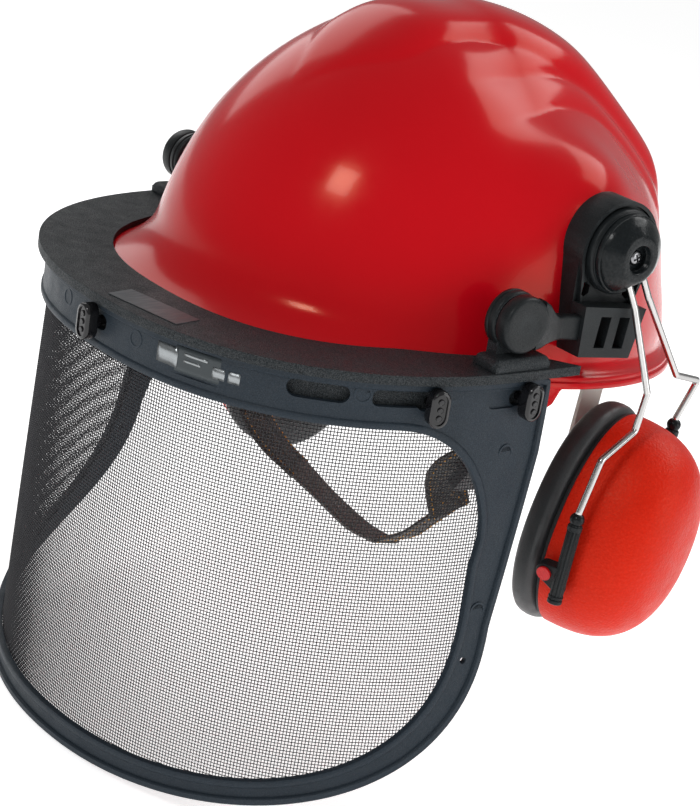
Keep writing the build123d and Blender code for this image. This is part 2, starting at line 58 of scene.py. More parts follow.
# ---------------------------------------------------------------- driving dimensions, mm
SHELL_A, SHELL_B, SHELL_H, SHELL_CY = 106.6, 124.2, 138.0, 6.35
SHELL_T = 2.6
PIVOT_Y, PIVOT_Z, VISOR_LEAN = -41.0, 30.4, 5.7
PLAN_A, PLAN_B, PLAN_N, PLAN_CY = 122.0, 124.6, 2.3, 5.6
FLANGE_W = 24.5
FLARE_A, FLARE_N, FLARE_B = 18.0, -0.22, 3.0
BAND_TOP, MESH_TOP = -22.4, -42.6
SHEET_T = 2.6
MESH_PITCH, MESH_WIRE = 1.4, 0.45
CUP_A, CUP_B, CUP_D, CUP_LEAN = 34.4, 48.8, 43.0, 12.0
CUP_POWER = 2.8
CUP_C = Vector((110.2, 42.4, -60.3))
CUP_N = Vector((0.958, 0.283, -0.041)).normalized()
HUB_X, HUB_Y, HUB_Z, HUB_TURN = 119.4, 11.4, 60.5, 29.7
FRONT_END, REAR_END = Vector((134.2, 5.6, -46.5)), Vector((106.2, 82.6, -16.0))
SLIDE = Vector((-0.02, 0.02, -1.0)).normalized()
FRONT_RIVET, REAR_RIVET = Vector((126.0, 5.5, -75.4)), Vector((98.4, 81.2, -45.0))
BAR_R, BAR_RIB, BAR_RIBS, COLLAR_R, EYE_R = 2.78, 0.17, 12, 3.2, 4.3
STRAP_W, STRAP_T = 20.0, 1.9
CHIN_W, TAIL_W, CHIN_T = 15.0, 12.0, 1.8
CROWN_W, CROWN_T = 20.0, 1.4
SWEAT_A, SWEAT_B, SWEAT_CY, SWEAT_HALF = 73.6, 94.1, 2.0, 12.9
FLOOR_HALF = 14.0   # metres


# ---------------------------------------------------------------- materials
def shader_nodes(name):
    mat = bpy.data.materials.new(name)
    mat.use_nodes = True
    tree = mat.node_tree
    bsdf = tree.nodes["Principled BSDF"]
    return mat, tree, bsdf


def rgb(c, k=1.0):
    return (min(1.0, c[0] * k), min(1.0, c[1] * k), min(1.0, c[2] * k), 1.0)


def ramp(tree, source, low, high, a, b):
    node = tree.nodes.new("ShaderNodeValToRGB")
    node.color_ramp.elements[0].position = low
    node.color_ramp.elements[1].position = high
    node.color_ramp.elements[0].color = a
    node.color_ramp.elements[1].color = b
    tree.links.new(source, node.inputs["Fac"])
    return node.outputs["Color"]


def grey(v):
    return (v, v, v, 1.0)


def noise(tree, scale, detail=3.0, rough=0.55, stretch=None, distortion=0.0):
    coord = tree.nodes.new("ShaderNodeTexCoord")
    node = tree.nodes.new("ShaderNodeTexNoise")
    node.inputs["Scale"].default_value = scale
    node.inputs["Detail"].default_value = detail
    node.inputs["Roughness"].default_value = rough
    node.inputs["Distortion"].default_value = distortion
    if stretch:
        mapping = tree.nodes.new("ShaderNodeMapping")
        mapping.inputs["Scale"].default_value = stretch
        tree.links.new(coord.outputs["Object"], mapping.inputs["Vector"])
        tree.links.new(mapping.outputs["Vector"], node.inputs["Vector"])
    else:
        tree.links.new(coord.outputs["Object"], node.inputs["Vector"])
    return node.outputs["Fac"]


def cells(tree, scale, feature="F1"):
    coord = tree.nodes.new("ShaderNodeTexCoord")
    node = tree.nodes.new("ShaderNodeTexVoronoi")
    node.feature = feature
    node.inputs["Scale"].default_value = scale
    tree.links.new(coord.outputs["Object"], node.inputs["Vector"])
    return node.outputs["Distance"]


def bump(tree, bsdf, height, strength, distance):
    node = tree.nodes.new("ShaderNodeBump")
    node.inputs["Strength"].default_value = strength
    node.inputs["Distance"].default_value = distance
    tree.links.new(height, node.inputs["Height"])
    for link in bsdf.inputs["Normal"].links:
        tree.links.new(link.from_socket, node.inputs["Normal"])
    tree.links.new(node.outputs["Normal"], bsdf.inputs["Normal"])


def mix(tree, fac, a, b, blend="MIX"):
    node = tree.nodes.new("ShaderNodeMix")
    node.data_type = "RGBA"
    node.blend_type = blend
    if hasattr(fac, "links"):
        tree.links.new(fac, node.inputs["Factor"])
    else:
        node.inputs["Factor"].default_value = fac
    for value, socket in ((a, node.inputs["A"]), (b, node.inputs["B"])):
        if hasattr(value, "links"):
            tree.links.new(value, socket)
        else:
            socket.default_value = value
    return node.outputs["Result"]


def pattern_input(tree, bsdf, socket, source, span, a, b):
    """Feeds a shader input from a pattern: a at the low end of the span, b at its high end."""
    tree.links.new(ramp(tree, source, span[0], span[1], a, b), bsdf.inputs[socket])


def worn(tree, base, edge, amount=0.35):
    """Base colour, a little lighter along worn convex edges."""
    geo = tree.nodes.new("ShaderNodeNewGeometry")
    mask = ramp(tree, geo.outputs["Pointiness"], 0.52, 0.60, grey(0.0), grey(amount))
    return mix(tree, mask, base, edge)


TINT = (1.0, 0.50, 0.30, 1.0)


def plastic(name, colour, rough=0.5, grain=900.0, grain_depth=0.05, vary=0.12, edge=1.5, coat=0.0, spec=0.3,
            fleck=0.0, tint=False):
    mat, tree, bsdf = shader_nodes(name)
    clouds = noise(tree, 35.0, 4.0)
    base = ramp(tree, clouds, 0.3, 0.72, rgb(colour, 1 - vary), rgb(colour, 1 + vary))
    speck = noise(tree, grain * 1.1, 2.0, 0.6)
    base = mix(tree, ramp(tree, speck, 0.46, 0.66, grey(0.0), grey(fleck)), base, rgb(colour, 2.6))
    tree.links.new(worn(tree, base, rgb(colour, edge)), bsdf.inputs["Base Color"])
    scuff = noise(tree, 140.0, 5.0, 0.65)
    span = 0.09
    pattern_input(tree, bsdf, "Roughness", scuff, (0.32, 0.7), grey(max(0.02, rough - span)),
                  grey(min(1.0, rough + span)))
    bsdf.inputs["Specular IOR Level"].default_value = spec
    if fleck > 0:
        glint = ramp(tree, noise(tree, grain * 0.9, 3.0, 0.7), 0.40, 0.66, grey(spec * (1 - 0.6 * fleck)),
                     grey(min(1.0, spec * (1 + 2.2 * fleck))))
        tree.links.new(glint, bsdf.inputs["Specular IOR Level"])
    if tint:
        bsdf.inputs["Specular Tint"].default_value = TINT
    bsdf.inputs["Coat Weight"].default_value = coat
    bsdf.inputs["Coat Roughness"].default_value = 0.06
    if grain_depth > 0:
        bump(tree, bsdf, cells(tree, grain), 0.6, grain_depth * MM)
        bump(tree, bsdf, noise(tree, grain * 0.6, 3.0), 0.35, grain_depth * MM)
    return mat


def glossy_shell(name, colour):
    mat, tree, bsdf = shader_nodes(name)
    clouds = noise(tree, 9.0, 3.0)
    base = ramp(tree, clouds, 0.3, 0.7, rgb(colour, 0.96), rgb(colour, 1.05))
    tree.links.new(worn(tree, base, rgb(colour, 1.25), 0.2), bsdf.inputs["Base Color"])
    haze = noise(tree, 60.0, 6.0, 0.7)
    pattern_input(tree, bsdf, "Roughness", haze, (0.35, 0.75), grey(0.15), grey(0.24))
    bsdf.inputs["Specular IOR Level"].default_value = 0.30
    bsdf.inputs["Coat Weight"].default_value = 0.06
    bsdf.inputs["Coat Roughness"].default_value = 0.05
    bsdf.inputs["Subsurface Weight"].default_value = 0.03
    bsdf.inputs["Subsurface Radius"].default_value = (0.004, 0.001, 0.0005)
    bump(tree, bsdf, noise(tree, 160.0, 2.0), 0.05, 0.05 * MM)
    bsdf.inputs["Specular Tint"].default_value = TINT
    return mat


def metal(name, colour, rough, brushed=(1.0, 1.0, 0.05), scale=1500.0):
    mat, tree, bsdf = shader_nodes(name)
    streak = noise(tree, scale, 4.0, 0.6, stretch=brushed)
    tone = ramp(tree, streak, 0.3, 0.7, rgb(colour, 0.86), rgb(colour, 1.06))
    # Painted shade: the base colour darkens towards 12 per cent of the metal's colour where the surface turns
    # edge-on to the view, a dark rim painted along every metal part.
    edge_on_shade = tree.nodes.new("ShaderNodeLayerWeight")
    edge_on_shade.inputs["Blend"].default_value = 0.42
    edge = ramp(tree, edge_on_shade.outputs["Facing"], 0.35, 0.95, grey(0.0), grey(0.85))
    tree.links.new(mix(tree, edge, tone, rgb(colour, 0.12)), bsdf.inputs["Base Color"])
    pattern_input(tree, bsdf, "Roughness", streak, (0.3, 0.7), grey(rough * 0.7), grey(rough * 1.35))
    bsdf.inputs["Metallic"].default_value = 1.0
    bump(tree, bsdf, streak, 0.12, 0.02 * MM)
    return mat


def milky(name, colour, rough=0.38):
    """Natural, slightly see-through polyethylene."""
    mat, tree, bsdf = shader_nodes(name)
    clouds = noise(tree, 45.0, 4.0)
    pattern_input(tree, bsdf, "Base Color", clouds, (0.3, 0.7), rgb(colour, 0.93), rgb(colour, 1.04))
    fine = noise(tree, 420.0, 3.0)
    pattern_input(tree, bsdf, "Roughness", fine, (0.3, 0.7), grey(rough - 0.07), grey(rough + 0.09))
    bsdf.inputs["Subsurface Weight"].default_value = 0.35
    bsdf.inputs["Subsurface Radius"].default_value = (0.006, 0.005, 0.004)
    bsdf.inputs["Transmission Weight"].default_value = 0.12
    bump(tree, bsdf, fine, 0.2, 0.05 * MM)
    return mat


def leather(name, colour, rough=0.42):
    mat, tree, bsdf = shader_nodes(name)
    clouds = noise(tree, 60.0, 5.0)
    base = ramp(tree, clouds, 0.3, 0.7, rgb(colour, 0.8), rgb(colour, 1.3))
    crack = cells(tree, 1100.0, "DISTANCE_TO_EDGE")
    tint = ramp(tree, crack, 0.0, 0.12, grey(0.7), grey(1.0))
    tree.links.new(mix(tree, 1.0, base, tint, "MULTIPLY"), bsdf.inputs["Base Color"])
    shine = noise(tree, 220.0, 4.0)
    pattern_input(tree, bsdf, "Roughness", shine, (0.3, 0.7), grey(rough - 0.1), grey(rough + 0.12))
    bsdf.inputs["Sheen Weight"].default_value = 0.15
    bump(tree, bsdf, crack, 0.55, 0.12 * MM)
    bump(tree, bsdf, shine, 0.25, 0.25 * MM)
    return mat


def webbing(name, colour, thread, rough=0.8):
    """Woven strap; u runs along it and v across, both in millimetres."""
    mat, tree, bsdf = shader_nodes(name)
    uv = tree.nodes.new("ShaderNodeUVMap")
    uv.uv_map = "strap"
    heights = []
    for turn in (0.6, -0.6):
        mapping = tree.nodes.new("ShaderNodeMapping")
        mapping.inputs["Rotation"].default_value = (0, 0, turn)
        tree.links.new(uv.outputs["UV"], mapping.inputs["Vector"])
        wave = tree.nodes.new("ShaderNodeTexWave")
        wave.inputs["Scale"].default_value = 0.26
        wave.inputs["Distortion"].default_value = 0.3
        wave.inputs["Detail"].default_value = 1.0
        tree.links.new(mapping.outputs["Vector"], wave.inputs["Vector"])
        heights.append(wave.outputs["Fac"])
    weave = mix(tree, 1.0, heights[0], heights[1], "MULTIPLY")
    base = mix(tree, weave, rgb(colour, 0.55), rgb(colour, 1.5))
    fleck = noise(tree, 900.0, 2.0)
    spots = ramp(tree, fleck, 0.60, 0.68, grey(0.0), grey(0.55))
    tree.links.new(mix(tree, spots, base, rgb(thread)), bsdf.inputs["Base Color"])
    bsdf.inputs["Roughness"].default_value = rough
    bsdf.inputs["Sheen Weight"].default_value = 0.4
    bump(tree, bsdf, weave, 0.9, 0.25 * MM)
    bump(tree, bsdf, fleck, 0.4, 0.1 * MM)
    return mat


def foam(name, colour):
    mat, tree, bsdf = shader_nodes(name)
    pore = cells(tree, 900.0)
    pattern_input(tree, bsdf, "Base Color", pore, (0.1, 0.6), rgb(colour, 0.45), rgb(colour, 1.15))
    bsdf.inputs["Roughness"].default_value = 0.95
    bump(tree, bsdf, pore, 0.9, 0.5 * MM)
    return mat


RED = (0.58, 0.003, 0.010)
CUP_RED = (0.64, 0.014, 0.004)
CHARCOAL = (0.014, 0.017, 0.019)
FRAME_GREY = (0.018, 0.026, 0.035)
M = {
    "shell": glossy_shell("shell_gloss_red", RED),
    "guard": plastic("guard_grained_black", CHARCOAL, 0.55, 1900.0, 0.40, 0.15, 2.2, spec=0.19, fleck=0.95),
    "frame": plastic("frame_satin_grey", FRAME_GREY, 0.46, 2300.0, 0.12, 0.12, 1.8, spec=0.18, fleck=0.35),
    "fitting": plastic("fitting_satin_black", (0.010, 0.012, 0.013), 0.36, 2400.0, 0.08, 0.15, 2.6,
                       spec=0.17, fleck=0.35),
    "hub": plastic("hub_polished_black", (0.007, 0.009, 0.010), 0.24, 900.0, 0.05, 0.12, 2.6, coat=0.05,
                   spec=0.16, fleck=0.25),
    "clip": plastic("clip_gloss_black", (0.006, 0.006, 0.007), 0.13, 500.0, 0.015, 0.2, 3.0, coat=0.5),
    "mesh": plastic("mesh_painted_steel", (0.022, 0.022, 0.025), 0.45, 2000.0, 0.01, 0.2, 2.0),
    "foil": metal("label_foil", (0.34, 0.36, 0.37), 0.30, (0.1, 1.0, 1.0), 900.0),
    "label_dark": plastic("label_print", (0.05, 0.06, 0.065), 0.35, 900.0, 0.01),
    "label_grey": metal("label_dull_foil", (0.16, 0.17, 0.18), 0.42, (1.0, 0.1, 1.0), 700.0),
    "chrome": metal("screw_chrome", (0.30, 0.30, 0.31), 0.16),
    "wire": metal("wire_stainless", (0.62, 0.61, 0.60), 0.16, (1.0, 1.0, 0.02), 2500.0),
    "cup": plastic("cup_textured_red", CUP_RED, 0.44, 900.0, 0.22, 0.07, 1.25, spec=0.30, fleck=0.15,
                   tint=True),
    "seal": plastic("seal_black", (0.02, 0.022, 0.024), 0.5, 900.0, 0.05),
    "leather": leather("cushion_leatherette", (0.026, 0.029, 0.031)),
    "foam": foam("foam_open_cell", (0.16, 0.16, 0.17)),
    "rivet": plastic("rivet_red", (0.66, 0.010, 0.012), 0.25, 900.0, 0.02, coat=0.3),
    "white": milky("harness_polyethylene", (0.80, 0.78, 0.72)),
    "sweat": leather("sweatband_tan", (0.42, 0.27, 0.15), 0.6),
    "knob": plastic("knob_black", (0.018, 0.020, 0.022), 0.45, 900.0, 0.08),
    "crown": webbing("crown_webbing", (0.10, 0.10, 0.11), (0.2, 0.2, 0.2)),
    "strap": webbing("chin_webbing", (0.020, 0.019, 0.018), (0.30, 0.16, 0.03)),
    "chin": webbing("chin_band_grey", (0.17, 0.165, 0.155), (0.26, 0.25, 0.23)),
    "stitch": plastic("stitch_thread_gold", (0.62, 0.30, 0.05), 0.7, 2500.0, 0.05),
    "slider": plastic("slider_black", (0.02, 0.02, 0.022), 0.35, 900.0, 0.05),
}


# ---------------------------------------------------------------- mesh helpers
def make(name, verts, faces, mat, body, smooth=True, auto=35.0):
    """verts in millimetres."""
    mesh = bpy.data.meshes.new(name)
    mesh.from_pydata([tuple(c * MM for c in v) for v in verts], [], faces)
    mesh.update()
    obj = bpy.data.objects.new(name, mesh)
    bpy.context.scene.collection.objects.link(obj)
    obj.data.materials.append(mat)
    bm = bmesh.new()
    bm.from_mesh(mesh)
    bmesh.ops.recalc_face_normals(bm, faces=bm.faces)
    bm.to_mesh(mesh)
    bm.free()
    if smooth:
        shade(obj, auto)
    if body:
        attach(obj, body)
    return obj


def shade(obj, angle):
    obj.data.shade_smooth()
    obj.data.set_sharp_from_angle(angle=math.radians(angle))


def loft(name, rings, mat, body, closed=True, caps=(False, False), auto=35.0, loop=False):
    """Joins rings of equal length with quads.

    closed joins each ring to itself, and loop joins the last ring to the first.
    """
    n = len(rings[0])
    verts = [p for ring in rings for p in ring]
    faces = []
    count = len(rings)
    for i in range(count if loop else count - 1):
        j = (i + 1) % count
        for k in range(n if closed else n - 1):
            m = (k + 1) % n
            faces.append((i * n + k, i * n + m, j * n + m, j * n + k))
    if caps[0]:
        faces.append(tuple(range(n)))
    if caps[1]:
        faces.append(tuple((count - 1) * n + k for k in range(n)))
    return make(name, verts, faces, mat, body, True, auto)


def modifier(obj, kind, **values):
    mod = obj.modifiers.new(kind.lower(), kind)
    for key, value in values.items():
        setattr(mod, key, value)
    return mod


def soften(obj, width, segments=3, angle=30.0):
    modifier(obj, "BEVEL", width=width * MM, segments=segments, limit_method="ANGLE",
             angle_limit=math.radians(angle), harden_normals=True, use_clamp_overlap=True)


def box_mesh(name, centre, size, turn, mat, body, bevel=0.5, segments=3):
    """A bevelled block; turn is a 3x3 or 4x4 matrix."""
    verts = []
    for x in (-0.5, 0.5):
        for y in (-0.5, 0.5):
            for z in (-0.5, 0.5):
                verts.append(turn.to_3x3() @ Vector((x * size[0], y * size[1], z * size[2])) + Vector(centre))
    faces = [(0, 1, 3, 2), (4, 6, 7, 5), (0, 4, 5, 1), (2, 3, 7, 6), (0, 2, 6, 4), (1, 5, 7, 3)]
    obj = make(name, verts, faces, mat, body, True, 30.0)
    soften(obj, bevel, segments)
    return obj


def lathe(name, profile, place, mat, body, steps=96, auto=30.0):
    """Turns (radius, height) points about the z axis of place. Ends on the axis are closed."""
    rings = []
    for r, h in profile:
        ring = []
        for k in range(steps):
            a = 2 * math.pi * k / steps
            ring.append(place @ Vector((max(r, 0.001) * math.cos(a), max(r, 0.001) * math.sin(a), h)))
        rings.append(ring)
    return loft(name, rings, mat, body, True, (True, True), auto)


def sweep(path, outline, up=None):
    """Rings of outline(i, t) along a path, with parallel transport, or with a fixed width direction up(i)."""
    rings = []
    side = None
    n = len(path)
    for i, p in enumerate(path):
        tangent = (path[min(i + 1, n - 1)] - path[max(i - 1, 0)]).normalized()
        if up is not None:
            side = up(i)
        elif side is None:
            side = tangent.orthogonal()
        side = (side - tangent * side.dot(tangent)).normalized()
        other = tangent.cross(side)
        rings.append([p + side * a + other * b for a, b in outline(i, i / (n - 1))])
    return rings


def spline(points, count):
    """Catmull-Rom curve through the points, evenly resampled."""
    pts = [Vector(p) for p in points]
    pts = [pts[0] * 2 - pts[1]] + pts + [pts[-1] * 2 - pts[-2]]
    dense = []
    for i in range(1, len(pts) - 2):
        for k in range(24):
            t = k / 24
            a, b, c, d = pts[i - 1:i + 3]
            dense.append(0.5 * ((2 * b) + (c - a) * t + (2 * a - 5 * b + 4 * c - d) * t ** 2
                                + (3 * b - a - 3 * c + d) * t ** 3))
    dense.append(pts[-2])
    return resample(dense, count)


def resample(dense, count):
    run = [0.0]
    for a, b in zip(dense[:-1], dense[1:]):
        run.append(run[-1] + (b - a).length)
    out = []
    j = 0
    for i in range(count):
        want = run[-1] * i / (count - 1)
        while j < len(run) - 2 and run[j + 1] < want:
            j += 1
        f = (want - run[j]) / max(run[j + 1] - run[j], 1e-9)
        out.append(dense[j].lerp(dense[j + 1], f))
    return out


def signed_power(v, exponent):
    return math.copysign(abs(v) ** exponent, v)


def smooth_step(a, b, x):
    t = max(0.0, min(1.0, (x - a) / (b - a)))
    return t * t * (3 - 2 * t)


def keep(name, mat, bevel=0.0, segments=3, angle=32.0):
    """A CAD node that stays, with its edges broken and its own material."""
    obj = nodes[name]
    for i in range(max(1, len(obj.material_slots))):
        if i < len(obj.material_slots):
            obj.material_slots[i].material = mat
    if bevel:
        modifier(obj, "WELD", merge_threshold=0.00001)
        soften(obj, bevel, segments, angle)
    return obj


def sided(side, v):
    return Vector((v[0] * side, v[1], v[2]))


# ---------------------------------------------------------------- shell
def crease(y, front, rear, turn):
    """How far out a crown fold lies, at the given distance from the front."""
    return front + (rear - front) * smooth_step(turn[0], turn[1], y)


def crown_lift(x, y):
    """Height of the crown's overlapping ribs above the dome."""
    x = abs(x)
    centre = crease(y, 2.0, 30.0, (-92, -48)) + 13 * smooth_step(-25, 35, y)
    # edge of each fold, its full height, where it starts and is fully raised, and the width of its slope
    folds = ((centre, 4.6, (-90, -25), max(centre * 0.62, 4.0)),
             (50.0 - 5 * smooth_step(-20, 40, y), 3.6, (-46, 6), 15.0),
             (68.0 - 12 * smooth_step(-30, 55, y), 3.4, (-42, 12), 14.0))
    fade = 1 - smooth_step(95, 125, y)
    lift = 0.0
    for edge, height, rise, slope in folds:
        t = max(0.0, min(1.0, (edge - x) / slope))
        lift += height * smooth_step(rise[0], rise[1], y) * fade * (1 - (1 - t) ** 2.6)
    return lift


def trim(y, z):
    """Takes the dome down behind its front third, where the crown is flatter than an ellipsoid."""
    top = 9.5 * smooth_step(-44, -2, y) * smooth_step(62, 122, z)
    return -(top + 2.6 * smooth_step(40, 90, y) * smooth_step(12, 40, z))


def dome_gain(x, y, z):
    """How far the crown stands outside the plain ellipsoid."""
    return crown_lift(x, y) * smooth_step(28, 75, z) - 2.2 * smooth_step(60, 135, z) + trim(y, z)


def ear_bulge(x, y, z):
    """The swelling beside each hub, where the wall comes out to meet the slot adaptor."""
    swell = 12.5 * math.exp(-((y - 9) / 31) ** 2 - ((z - 80) / 29) ** 2)
    return swell * smooth_step(45, 88, abs(x))


def dome_point(a, phi, outward):
    """Point of the dome in direction a at elevation phi, moved outward(x, y, z) along its normal."""
    c, s = math.cos(phi), math.sin(phi)
    x, y, z = SHELL_A * c * math.cos(a), SHELL_B * c * math.sin(a), SHELL_H * s
    n = Vector((x / SHELL_A ** 2, y / SHELL_B ** 2, z / SHELL_H ** 2)).normalized()
    return Vector((x, y + SHELL_CY, z)) + n * outward(x, y + SHELL_CY, z)


def skirt_level(y):
    """Lower edge of the shell: level at the side and rear, and lower in front, behind the visor band."""
    front = -9.5 + (y - 8.0) * 0.052
    return front * (1 - smooth_step(0.0, 6.0, y))


def brim_level(y):
    """Height of the front brim, which lies just under the brow guard's flange."""
    return PIVOT_Z + BAND_TOP + (y - PIVOT_Y) * math.tan(math.radians(VISOR_LEAN)) - 1.3


def brim_reach(a):
    """How far the front brim stands out from the dome in direction a.

    It passes under the inner edge of the brow guard's flange.
    """
    c, s = math.cos(a), math.sin(a)
    r_dome = 1 / math.sqrt((c / SHELL_A) ** 2 + (s / SHELL_B) ** 2)
    r_rim = 1 / math.sqrt((c / (SHELL_A + 6.5)) ** 2 + (s / (SHELL_B + 6.5)) ** 2)
    lo, hi = 60.0, 160.0
    for _ in range(24):
        r = (lo + hi) / 2
        x = abs(r * c) / (PLAN_A - FLANGE_W)
        y = abs(min(0.0, SHELL_CY + r * s - PIVOT_Y - PLAN_CY)) / (PLAN_B - FLANGE_W)
        if x ** PLAN_N + y ** PLAN_N < 1:
            lo = r
        else:
            hi = r
    return max(r_rim, lo) - r_dome


def shell():
    """The cap: dome with crown folds, side rim, front brim and inner face."""
    around, up = 320, 100
    rings = []
    angles = [2 * math.pi * k / around for k in range(around)]
    reach = [brim_reach(a) for a in angles]
    for i in range(up + 1):
        ring = []
        for k, a in enumerate(angles):
            y_here = SHELL_CY + SHELL_B * math.sin(a)
            brim = 1 - smooth_step(-38.0, -14.0, y_here)
            low = 8.0 + (brim_level(y_here) + 0.3 - 8.0) * brim
            phi_low = math.asin(low / SHELL_H)
            phi = math.pi / 2 - (math.pi / 2 - phi_low) * i / up
            skin = dome_point(a, phi, lambda x, y, z: dome_gain(x, y, z) + ear_bulge(x, y, z))
            flare = reach[k] * brim * max(0.0, 1 - (SHELL_H * math.sin(phi) - low) / 24.0) ** 3.2
            ring.append(skin + Vector((math.cos(a), math.sin(a), 0)) * flare)
        rings.append(ring)
    side_rim = [(0.3, 7.5), (1.2, 6.2), (3.0, 5.2), (4.9, 4.8), (5.2, 4.4), (5.2, 3.0), (5.5, 2.7),
                (6.2, 2.7), (6.5, 2.3), (6.5, 0.4), (6.1, 0.0), (3.0, -0.02), (1.2, -0.04), (1.0, 0.0),
                (-1.8, 0.0), (-2.6, 0.9)]
    # share of the reach, millimetres on top of it, and height above the brim
    front_rim = [(1, 0.1, 0.2), (1, 0.25, 0.1), (1, 0.4, -0.1), (1, 0.5, -0.4), (1, 0.55, -0.8),
                 (1, 0.55, -1.2), (1, 0.55, -1.6), (1, 0.5, -2.0), (1, 0.35, -2.4), (1, 0.1, -2.7),
                 (1, -0.5, -2.9), (0.5, 0, -3.0), (0, 1.3, -3.5), (0, 1.1, None), (0, -1.8, None),
                 (0, -2.6, None)]
    for (out, h), (share, extra, drop) in zip(side_rim, front_rim):
        ring = []
        for k, a in enumerate(angles):
            ca, sa = math.cos(a), math.sin(a)
            y_here = SHELL_CY + SHELL_B * sa
            brim = 1 - smooth_step(-38.0, -14.0, y_here)
            skirt = skirt_level(y_here)
            lift = 0.9 if extra == -2.6 else 0.0
            front_z = skirt + lift if drop is None else brim_level(y_here) + drop
            side_z = skirt + h if drop is None else h
            r_out = out + (share * reach[k] + extra - out) * brim
            z = side_z + (front_z - side_z) * brim
            ring.append(Vector((SHELL_A * ca + r_out * ca, SHELL_CY + SHELL_B * sa + r_out * sa, z)))
        rings.append(ring)
    for i in range(28):
        phi = math.radians(3.0 + 87.0 * i / 27)
        rings.append([dome_point(a, phi, lambda x, y, z: dome_gain(x, y, z) - SHELL_T) for a in angles])
    obj = loft("shell_moulding", rings, M["shell"], "helmet", True, (False, False), 42.0)
    bm = bmesh.new()
    bm.from_mesh(obj.data)
    bmesh.ops.remove_doubles(bm, verts=bm.verts, dist=0.00002)
    bmesh.ops.recalc_face_normals(bm, faces=bm.faces)
    bm.to_mesh(obj.data)
    bm.free()
    shade(obj, 42.0)
    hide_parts("shell")
    return obj


shell()


# ---------------------------------------------------------------- visor surface
def plan(h):
    """Points of the visor's plan curve at height h, dense, with running length."""
    k = max(0.0, (MESH_TOP - h) / (195.0 + MESH_TOP))
    a = PLAN_A + FLARE_A * k
    b = PLAN_B + FLARE_B * k
    n = PLAN_N + FLARE_N * k
    pts = []
    for i in range(181):
        t = math.radians(90.0 * i / 180.0)
        pts.append((a * math.sin(t) ** (2.0 / n), PLAN_CY - b * max(math.cos(t), 0.0) ** (2.0 / n)))
    for i in range(1, 60):
        pts.append((a, PLAN_CY + i))
    run = [0.0]
    for p, q in zip(pts[:-1], pts[1:]):
        run.append(run[-1] + math.hypot(q[0] - p[0], q[1] - p[1]))
    return pts, run


PLANS = {}
LEAN = Matrix.Rotation(math.radians(VISOR_LEAN), 3, "X")


def visor_point(s, h, off=0.0):
    """Point of the visor, s round the curve from the middle and h above the pivot line."""
    key = round(h * 2)
    if key not in PLANS:
        PLANS[key] = plan(key / 2)
    pts, run = PLANS[key]
    want = abs(s)
    lo, hi = 0, len(run) - 1
    while hi - lo > 1:
        mid = (lo + hi) // 2
        if run[mid] <= want:
            lo = mid
        else:
            hi = mid
    f = (want - run[lo]) / (run[hi] - run[lo])
    x = pts[lo][0] + f * (pts[hi][0] - pts[lo][0])
    y = pts[lo][1] + f * (pts[hi][1] - pts[lo][1])
    i, j = max(lo - 1, 0), min(hi + 1, len(pts) - 1)
    dx, dy = pts[j][0] - pts[i][0], pts[j][1] - pts[i][1]
    d = math.hypot(dx, dy)
    nx, ny = (0.0, -1.0) if want < 0.01 else (dy / d, -dx / d)
    sign = -1.0 if s < 0 else 1.0
    local = Vector((sign * (x + nx * off), y + ny * off, h))
    return LEAN @ local + Vector((0, PIVOT_Y, PIVOT_Z))


def visor_frame_axes(s, h):
    """Matrix whose z is the outward normal and whose y is up, at a point of the visor."""
    p = visor_point(s, h)
    out = (visor_point(s, h, 1.0) - p).normalized()
    right = (LEAN @ Vector((0, 0, 1))).cross(out).normalized()
    up = out.cross(right)
    m = Matrix((right, up, out)).transposed().to_4x4()
    m.translation = p
    return m


def superquad(s0, h0, a, b, m, start, stop, count):
    out = []
    for i in range(count + 1):
        t = math.radians(start + (stop - start) * i / count)
        out.append((s0 + a * max(math.cos(t), 0) ** (2.0 / m), h0 - b * signed_power(math.sin(t), 2.0 / m)))
    return out


def frame_outline():
    """Right half of the visor's outer outline, from the top middle down to the bottom middle."""
    top = BAND_TOP - 0.3
    pts = [(s, top) for s in (0, 40, 80, 120, 160, 190, 209.5)]
    pts += [(211.6, top - 0.8), (212.6, top - 3.0), (213.0, -40.0), (212.6, -55.0), (209.6, -75.0),
            (205.6, -100.0)]
    pts += superquad(0.0, -125.0, 201.0, 92.5, 2.5, 0.5, 90.0, 40)
    return pts


def mesh_outline():
    pts = [(s, MESH_TOP) for s in (0, 40, 80, 120)]
    pts += superquad(143.0, -92.0, 46.0, 49.4, 2.0, -90.0, -4.0, 16)
    pts += superquad(0.0, -112.0, 187.0, 94.0, 2.8, -3.0, 90.0, 40)
    return pts


def polar(outline, centre, angles):
    """Points of an outline in the given directions from a centre."""
    out = []
    for ang in angles:
        d = (math.sin(ang), math.cos(ang))
        best = None
        for (ax, ay), (bx, by) in zip(outline[:-1], outline[1:]):
            ex, ey = bx - ax, by - ay
            det = d[0] * -ey + ex * d[1]
            if abs(det) < 1e-9:
                continue
            wx, wy = ax - centre[0], ay - centre[1]
            t = (wx * -ey + ex * wy) / det
            u = (d[0] * wy - d[1] * wx) / det
            if t > 0 and -1e-6 <= u <= 1 + 1e-6 and (best is None or t > best):
                best = t
        out.append((centre[0] + d[0] * best, centre[1] + d[1] * best))
    return out


def inset(loop, d):
    """Moves each point of a closed loop inwards along its own normal."""
    n = len(loop)
    out = []
    for i in range(n):
        ax, ay = loop[i - 1]
        bx, by = loop[(i + 1) % n]
        tx, ty = bx - ax, by - ay
        m = math.hypot(tx, ty)
        out.append((loop[i][0] - ty / m * d, loop[i][1] + tx / m * d))
    return out


CENTRE = (0.0, -112.0)
HALF = 220


def full_loop(outline):
    angles = [math.pi * (i + 0.5) / HALF for i in range(HALF)]
    right = polar(outline, CENTRE, angles)
    right.reverse()
    left = [(-s, h) for s, h in reversed(right)]
    return right + left


